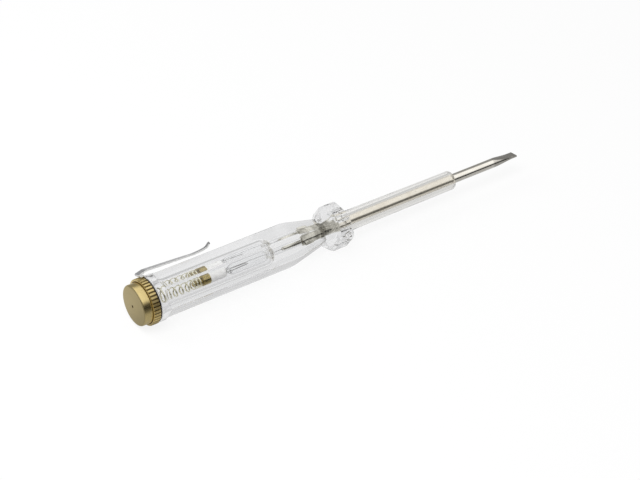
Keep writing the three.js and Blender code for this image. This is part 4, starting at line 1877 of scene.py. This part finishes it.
@dataclass
class GlowLamp:
    """The glow lamp: a glass bulb with a flat press, two electrodes and two thin leads."""

    radius: float = 2.65
    wall: float = 0.35
    sides: int = 64
    press_length: float = 1.0
    press_width: float = 3.6
    press_thickness: float = 1.6
    press_round: float = 0.3
    shoulder: float = 1.0
    shoulder_steps: int = 8
    dome_steps: int = 16
    tip_radius: float = 0.5
    tip_length: float = 0.7
    tip_share: float = 0.8
    tip_steps: int = 6
    hole_sides: int = 16
    electrode_radius: float = 0.17
    electrode_length: float = 4.6
    electrode_edge: float = 0.12
    electrode_edge_steps: int = 4
    electrode_sides: int = 24
    spread: float = 0.8
    lean: float = 0.35
    lead_radius: float = 0.13
    lead_turn: float = math.radians(-112)
    bend_room: float = 0.6
    rising_share: float = 0.67
    falling_share: float = 0.8
    shoulder_reach: float = 2.0
    bore_radius: float = 3.4
    tail_reach: float = 0.7
    face_gap: float = 0.1
    touch_gap: float = 0.3
    smooth_angle: float = math.radians(35)

    def outline(self, depth: float, tip: bool) -> list[Point]:
        """Lays out the bulb.

        Args:
            depth: How far it is drawn in, which is nothing for the outside.
            tip: Whether it has its sealed-off tip.

        Returns:
            The outline as (place, radius).
        """
        radius = self.radius - depth
        rear = PLACES.lamp_start + self.press_length + depth
        centre = PLACES.lamp_end - self.tip_length - self.radius
        dome = arc((centre, 0.0), radius, math.pi / 2, 0.0, self.dome_steps)
        start = [(rear, 0.0), (rear, self.press_thickness / 2)]
        shoulder = rear_corner(rear, radius, self.shoulder, self.shoulder_steps)
        if not tip:
            return [*start, *shoulder[1:], *dome]
        before = [point for point in dome if point[1] > self.tip_radius]
        nib_radius = self.tip_radius * self.tip_share
        nib = front_corner(PLACES.lamp_end, nib_radius, nib_radius, self.tip_steps)
        return [*start, *shoulder[1:], *before, *nib[:-1], (PLACES.lamp_end, 0.0)]

    def glass(self) -> bpy.types.Object:
        """Makes the hollow glass envelope with its press and two lead holes.

        Returns:
            The envelope.
        """
        glass = solid(turned(self.outline(0.0, True), self.sides))
        start = PLACES.lamp_start + self.face_gap
        end = PLACES.lamp_start + self.press_length + self.wall
        size = (end - start, self.press_width, self.press_thickness)
        combine(glass, solid(block(size, (start + end) / 2, self.press_round)), Cut.JOIN)
        combine(glass, solid(turned(self.outline(self.wall, False), self.sides)), Cut.TAKE)
        radius = self.lead_radius + self.face_gap
        for side in (-1, 1):
            hole = cylinder(start - OVERRUN, end + OVERRUN, radius, self.hole_sides)
            bmesh.ops.translate(hole, verts=hole.verts[:], vec=(0.0, side * self.spread, 0.0))
            combine(glass, solid(hole), Cut.TAKE)
        return glass

    def electrode(self, side: int) -> BMesh:
        """Makes one electrode, which leans a little towards the other.

        Args:
            side: The side of the axis that it stands on, -1 or 1.

        Returns:
            The electrode.
        """
        radius, length = self.electrode_radius, self.electrode_length
        front = front_corner(length, radius, self.electrode_edge, self.electrode_edge_steps)
        rear = rear_corner(0.0, radius, self.electrode_edge, self.electrode_edge_steps)
        shape = turned([(0.0, 0.0), *rear, *front, (length, 0.0)], self.electrode_sides)
        lean = -side * math.atan(self.lean / length)
        bmesh.ops.rotate(shape, verts=shape.verts[:], cent=ORIGIN, matrix=Matrix.Rotation(lean, 3, "Z"))
        place = (PLACES.electrode_start, side * self.spread, 0.0)
        bmesh.ops.translate(shape, verts=shape.verts[:], vec=place)
        return shape

    def track(self, place: float, share: float) -> Vector:
        """Returns a point of the front lead's way along the bulb, at a share of its full distance."""
        radius = (self.radius + self.bore_radius) / 2 * share
        return Vector((place, -radius * math.sin(self.lead_turn), radius * math.cos(self.lead_turn)))

    def leads(self) -> list[bpy.types.Object]:
        """Lays the two leads.

        Returns:
            The rear one, which is straight, and the front one, bent back round the press.
        """
        lamp = PLACES.lamp_start
        straight = [PLACES.front_cap_end + self.face_gap, lamp + self.press_length, PLACES.lead_end]
        rear = [Vector((place, -self.spread, 0.0)) for place in straight]
        front = [
            Vector((PLACES.lead_end, self.spread, 0.0)),
            Vector((lamp + self.press_length / 2, self.spread, 0.0)),
            Vector((lamp, self.spread, 0.0)),
            self.track(lamp - self.bend_room / 2, self.rising_share),
            self.track(lamp + self.press_length / 2, 1.0),
            self.track(lamp + self.shoulder_reach, 1.0),
            self.track((lamp + PLACES.lamp_end) / 2, 1.0),
            self.track(PLACES.lamp_end - self.radius, 1.0),
            self.track(PLACES.lamp_end - self.tip_length, self.falling_share),
            self.track(PLACES.bore_end + self.tail_reach, 0.0),
            self.track(PLACES.tail_start - self.touch_gap, 0.0),
        ]
        lines = ((rear, "rear_lead"), (front, "front_lead"))
        return [wire_along(line, self.lead_radius, name) for line, name in lines]

    def build(self, finishes: Finishes) -> None:
        """Builds and dresses the lamp's five pieces.

        Args:
            finishes: The tool's finishes.
        """
        rear_lead, front_lead = self.leads()
        rear, front = solid(self.electrode(-1)), solid(self.electrode(1))
        rod, wire = finishes.electrode, finishes.tinned
        for piece, name, finish, slot, node in (
            (self.glass(), "lamp_bulb", finishes.glass, Slot.LAMP_GLASS, "lamp_glass"),
            (rear, "rear_electrode", rod, Slot.ELECTRODE, "lamp_electrode_rear"),
            (front, "front_electrode", rod, Slot.ELECTRODE, "lamp_electrode_front"),
            (rear_lead, "rear_lead", wire, Slot.TINNED, "lamp_lead_rear"),
            (front_lead, "front_lead", wire, Slot.TINNED, "lamp_lead_front"),
        ):
            carry(piece, name, self.smooth_angle)
            mount(piece, finish, node)


@dataclass(frozen=True)
class Softbox:
    """A soft lamp that points at the tool."""

    name: str
    place: Triple
    size: Span
    power: float
    colour: Colour = (1.0, 1.0, 1.0)

    def build(self) -> None:
        """Adds the lamp to the scene."""
        light = bpy.data.lights.new(self.name, "AREA")
        light.shape = "RECTANGLE"
        light.size, light.size_y = self.size
        light.energy = self.power
        light.color = self.colour
        lamp = bpy.data.objects.new(self.name, light)
        lamp.location = self.place
        aim = Vector((0.0, 0.0, AXIS_HEIGHT)) - lamp.location
        lamp.rotation_euler = aim.to_track_quat("-Z", "Y").to_euler()
        lamp.visible_transmission = False
        lamp.visible_glossy = False
        bpy.context.scene.collection.objects.link(lamp)


@dataclass(frozen=True)
class RoomTones:
    """How bright the room is.

    The sheet lies behind and under the tool, and the rest is in front, behind and above. The under tone
    is a painted shadow of the tool on the floor, just in front of and beneath it.
    """

    sheet: float
    under: float
    front: float
    back: float
    above: float


@dataclass
class Studio:
    """A plain pale floor and soft light.

    A ray that is reflected once, on a metal or inside the plastic, sees a pale sheet under the tool in
    a darker room. A wide softbox hangs overhead, and the room is darkest low in front, where the camera
    stands. To a ray that crosses the plastic freely, or that is thrown about in it, all of it is pale.
    """

    floor_size: float = 1.6
    floor_colour: Colour = (0.8, 0.8, 0.8)
    floor_glow: float = 0.86
    front_edge: Span = (-0.045, -0.02)
    tool_shade: Span = (-0.005, 0.012)
    back_edge: Span = (0.025, 0.07)
    ambient: float = 0.5
    low_edge: Span = (0.2, -0.5)
    overhead_edge: Span = (0.42, 0.72)
    # The under tones are a painted shadow of the tool on the floor.
    mirrored: RoomTones = RoomTones(sheet=0.85, under=0.42, front=0.03, back=0.3, above=1.15)
    inside: RoomTones = RoomTones(sheet=0.85, under=0.66, front=0.1, back=0.55, above=1.0)
    through: RoomTones = RoomTones(sheet=0.84, under=0.84, front=0.78, back=0.74, above=0.92)
    softboxes: tuple[Softbox, ...] = (
        Softbox("key_softbox", (-0.25, -0.1, 0.55), (0.4, 0.3), 2.7),
        Softbox("fill_softbox", (-0.3, 0.42, 0.42), (0.4, 0.3), 1.2),
    )

    def chosen(self, graph: Graph, path: bpy.types.Node, tone: str) -> bpy.types.NodeSocket:
        """Returns one of the room's tones, by how often a ray was reflected and whether it met plastic.

        Args:
            graph: The material's or the world's nodes.
            path: Its Light Path node.
            tone: The name of the tone.

        Returns:
            The tone.
        """
        single = graph.math("COMPARE", path.outputs["Glossy Depth"], 1.0, 0.5)
        crossed = graph.math("GREATER_THAN", path.outputs["Transmission Depth"], 0.5)
        reflected = graph.between(crossed, getattr(self.mirrored, tone), getattr(self.inside, tone))
        return graph.between(single, getattr(self.through, tone), reflected)

    def floor(self) -> None:
        """Builds the floor, which the camera sees as nearly white."""
        shape = bmesh.new()
        bmesh.ops.create_grid(shape, x_segments=1, y_segments=1, size=self.floor_size / 2)
        floor = solid(shape, "floor")
        material = bpy.data.materials.new("floor_paper")
        graph = emptied(material)
        path = graph.add("ShaderNodeLightPath")
        rays = path.outputs
        mirrored = graph.math("MAXIMUM", rays["Is Glossy Ray"], rays["Is Transmission Ray"])
        seen = graph.math("MAXIMUM", mirrored, rays["Is Camera Ray"])
        share = graph.math("MULTIPLY", seen, self.floor_glow)
        place = graph.add("ShaderNodeTexCoord").outputs["Object"]
        across = graph.add("ShaderNodeSeparateXYZ", {0: place}).outputs["Y"]
        front, under = self.chosen(graph, path, "front"), self.chosen(graph, path, "under")
        sheet, back = self.chosen(graph, path, "sheet"), self.chosen(graph, path, "back")
        # Just in front of and beneath the tool the floor's glow falls to the under tone: a painted shadow
        # of the tool, which reflections see.
        near = graph.ramp(across, *self.front_edge, front, under)
        middle = graph.ramp(across, *self.tool_shade, near, sheet)
        tone = graph.ramp(across, *self.back_edge, middle, back)
        paper = graph.add("ShaderNodeBsdfDiffuse", {"Color": self.floor_colour})
        strength = graph.between(rays["Is Camera Ray"], tone, 1.0)
        white = graph.add("ShaderNodeEmission", {"Strength": strength})
        mixed = graph.add("ShaderNodeMixShader", {0: share, 1: paper.outputs[0], 2: white.outputs[0]})
        graph.add("ShaderNodeOutputMaterial", {"Surface": mixed.outputs[0]})
        floor.data.materials.append(material)

    def world(self) -> None:
        """Builds the surroundings: white to the camera, and the studio's tones to everything else."""
        world = bpy.data.worlds.new("surroundings")
        graph = emptied(world)
        way = graph.add("ShaderNodeTexCoord").outputs["Generated"]
        split = graph.add("ShaderNodeSeparateXYZ", {0: way}).outputs
        path = graph.add("ShaderNodeLightPath")
        rays = path.outputs
        front, back = self.chosen(graph, path, "front"), self.chosen(graph, path, "back")
        low = graph.ramp(split["Y"], *self.low_edge, back, front)
        above = self.chosen(graph, path, "above")
        tone = graph.ramp(split["Z"], *self.overhead_edge, low, above)
        diffuse = graph.math("MAXIMUM", rays["Is Diffuse Ray"], rays["Is Shadow Ray"])
        shown = graph.between(diffuse, tone, self.ambient)
        level = graph.between(rays["Is Camera Ray"], shown, 1.0)
        surroundings = graph.add("ShaderNodeBackground", {"Color": (1.0, 1.0, 1.0), "Strength": level})
        graph.add("ShaderNodeOutputWorld", {"Surface": surroundings.outputs[0]})
        bpy.context.scene.world = world

    def build(self) -> None:
        """Builds the floor, the surroundings and the lamps."""
        self.floor()
        self.world()
        for softbox in self.softboxes:
            softbox.build()
        log.info("studio: floor, surroundings and %d softboxes", len(self.softboxes))


@dataclass(frozen=True)
class PhotoCamera:
    """The camera at the photograph's place, found by fitting the tool's axis and widths."""

    place: Triple = (-0.28762, -0.48712, 0.20889)
    right: Triple = (0.8186, -0.5472, -0.1744)
    up: Triple = (0.3285, 0.1971, 0.9237)
    rise: float = math.radians(22)
    focal_pixels: float = 2000.0
    image_width: float = 640.0
    sensor_width: float = 36.0
    clip_start: float = 0.01
    clip_end: float = 20.0

    def build(self) -> None:
        """Adds the camera and makes it the scene's own."""
        data = bpy.data.cameras.new("photo_camera")
        data.sensor_width = self.sensor_width
        data.lens = self.focal_pixels / self.image_width * self.sensor_width
        data.clip_start = self.clip_start
        data.clip_end = self.clip_end
        camera = bpy.data.objects.new("photo_camera", data)
        right = Vector(self.right).normalized()
        back = right.cross(Vector(self.up)).normalized()
        axes = Matrix((right, back.cross(right), back)).transposed().to_4x4()
        pivot = Matrix.Translation((0.0, 0.0, AXIS_HEIGHT))
        swing = pivot @ Matrix.Rotation(-self.rise, 4, "X") @ pivot.inverted()
        camera.matrix_world = swing @ Matrix.Translation(self.place) @ axes
        bpy.context.scene.collection.objects.link(camera)
        bpy.context.scene.camera = camera


def let_light_through() -> None:
    """Lets light bounce often enough to leave the faceted plastic again."""
    bounces = bpy.context.scene.cycles
    bounces.max_bounces = MOST_BOUNCES
    bounces.glossy_bounces = MOST_BOUNCES
    bounces.transmission_bounces = MOST_BOUNCES


def main() -> None:
    """Builds the whole scene, one sub-assembly after the other."""
    logging.basicConfig(level=logging.INFO, format="%(message)s")
    bpy.context.scene.view_settings.view_transform = "Standard"
    let_light_through()
    PhotoCamera().build()
    finishes = Finishes()
    for assembly in (
        ScrewCap(),
        Handle(),
        Blade(),
        Sleeve(),
        PocketClip(),
        ContactSpring(),
        Resistor(),
        GlowLamp(),
    ):
        assembly.build(finishes)
    Studio().build()


if __name__ == "__main__":
    main()
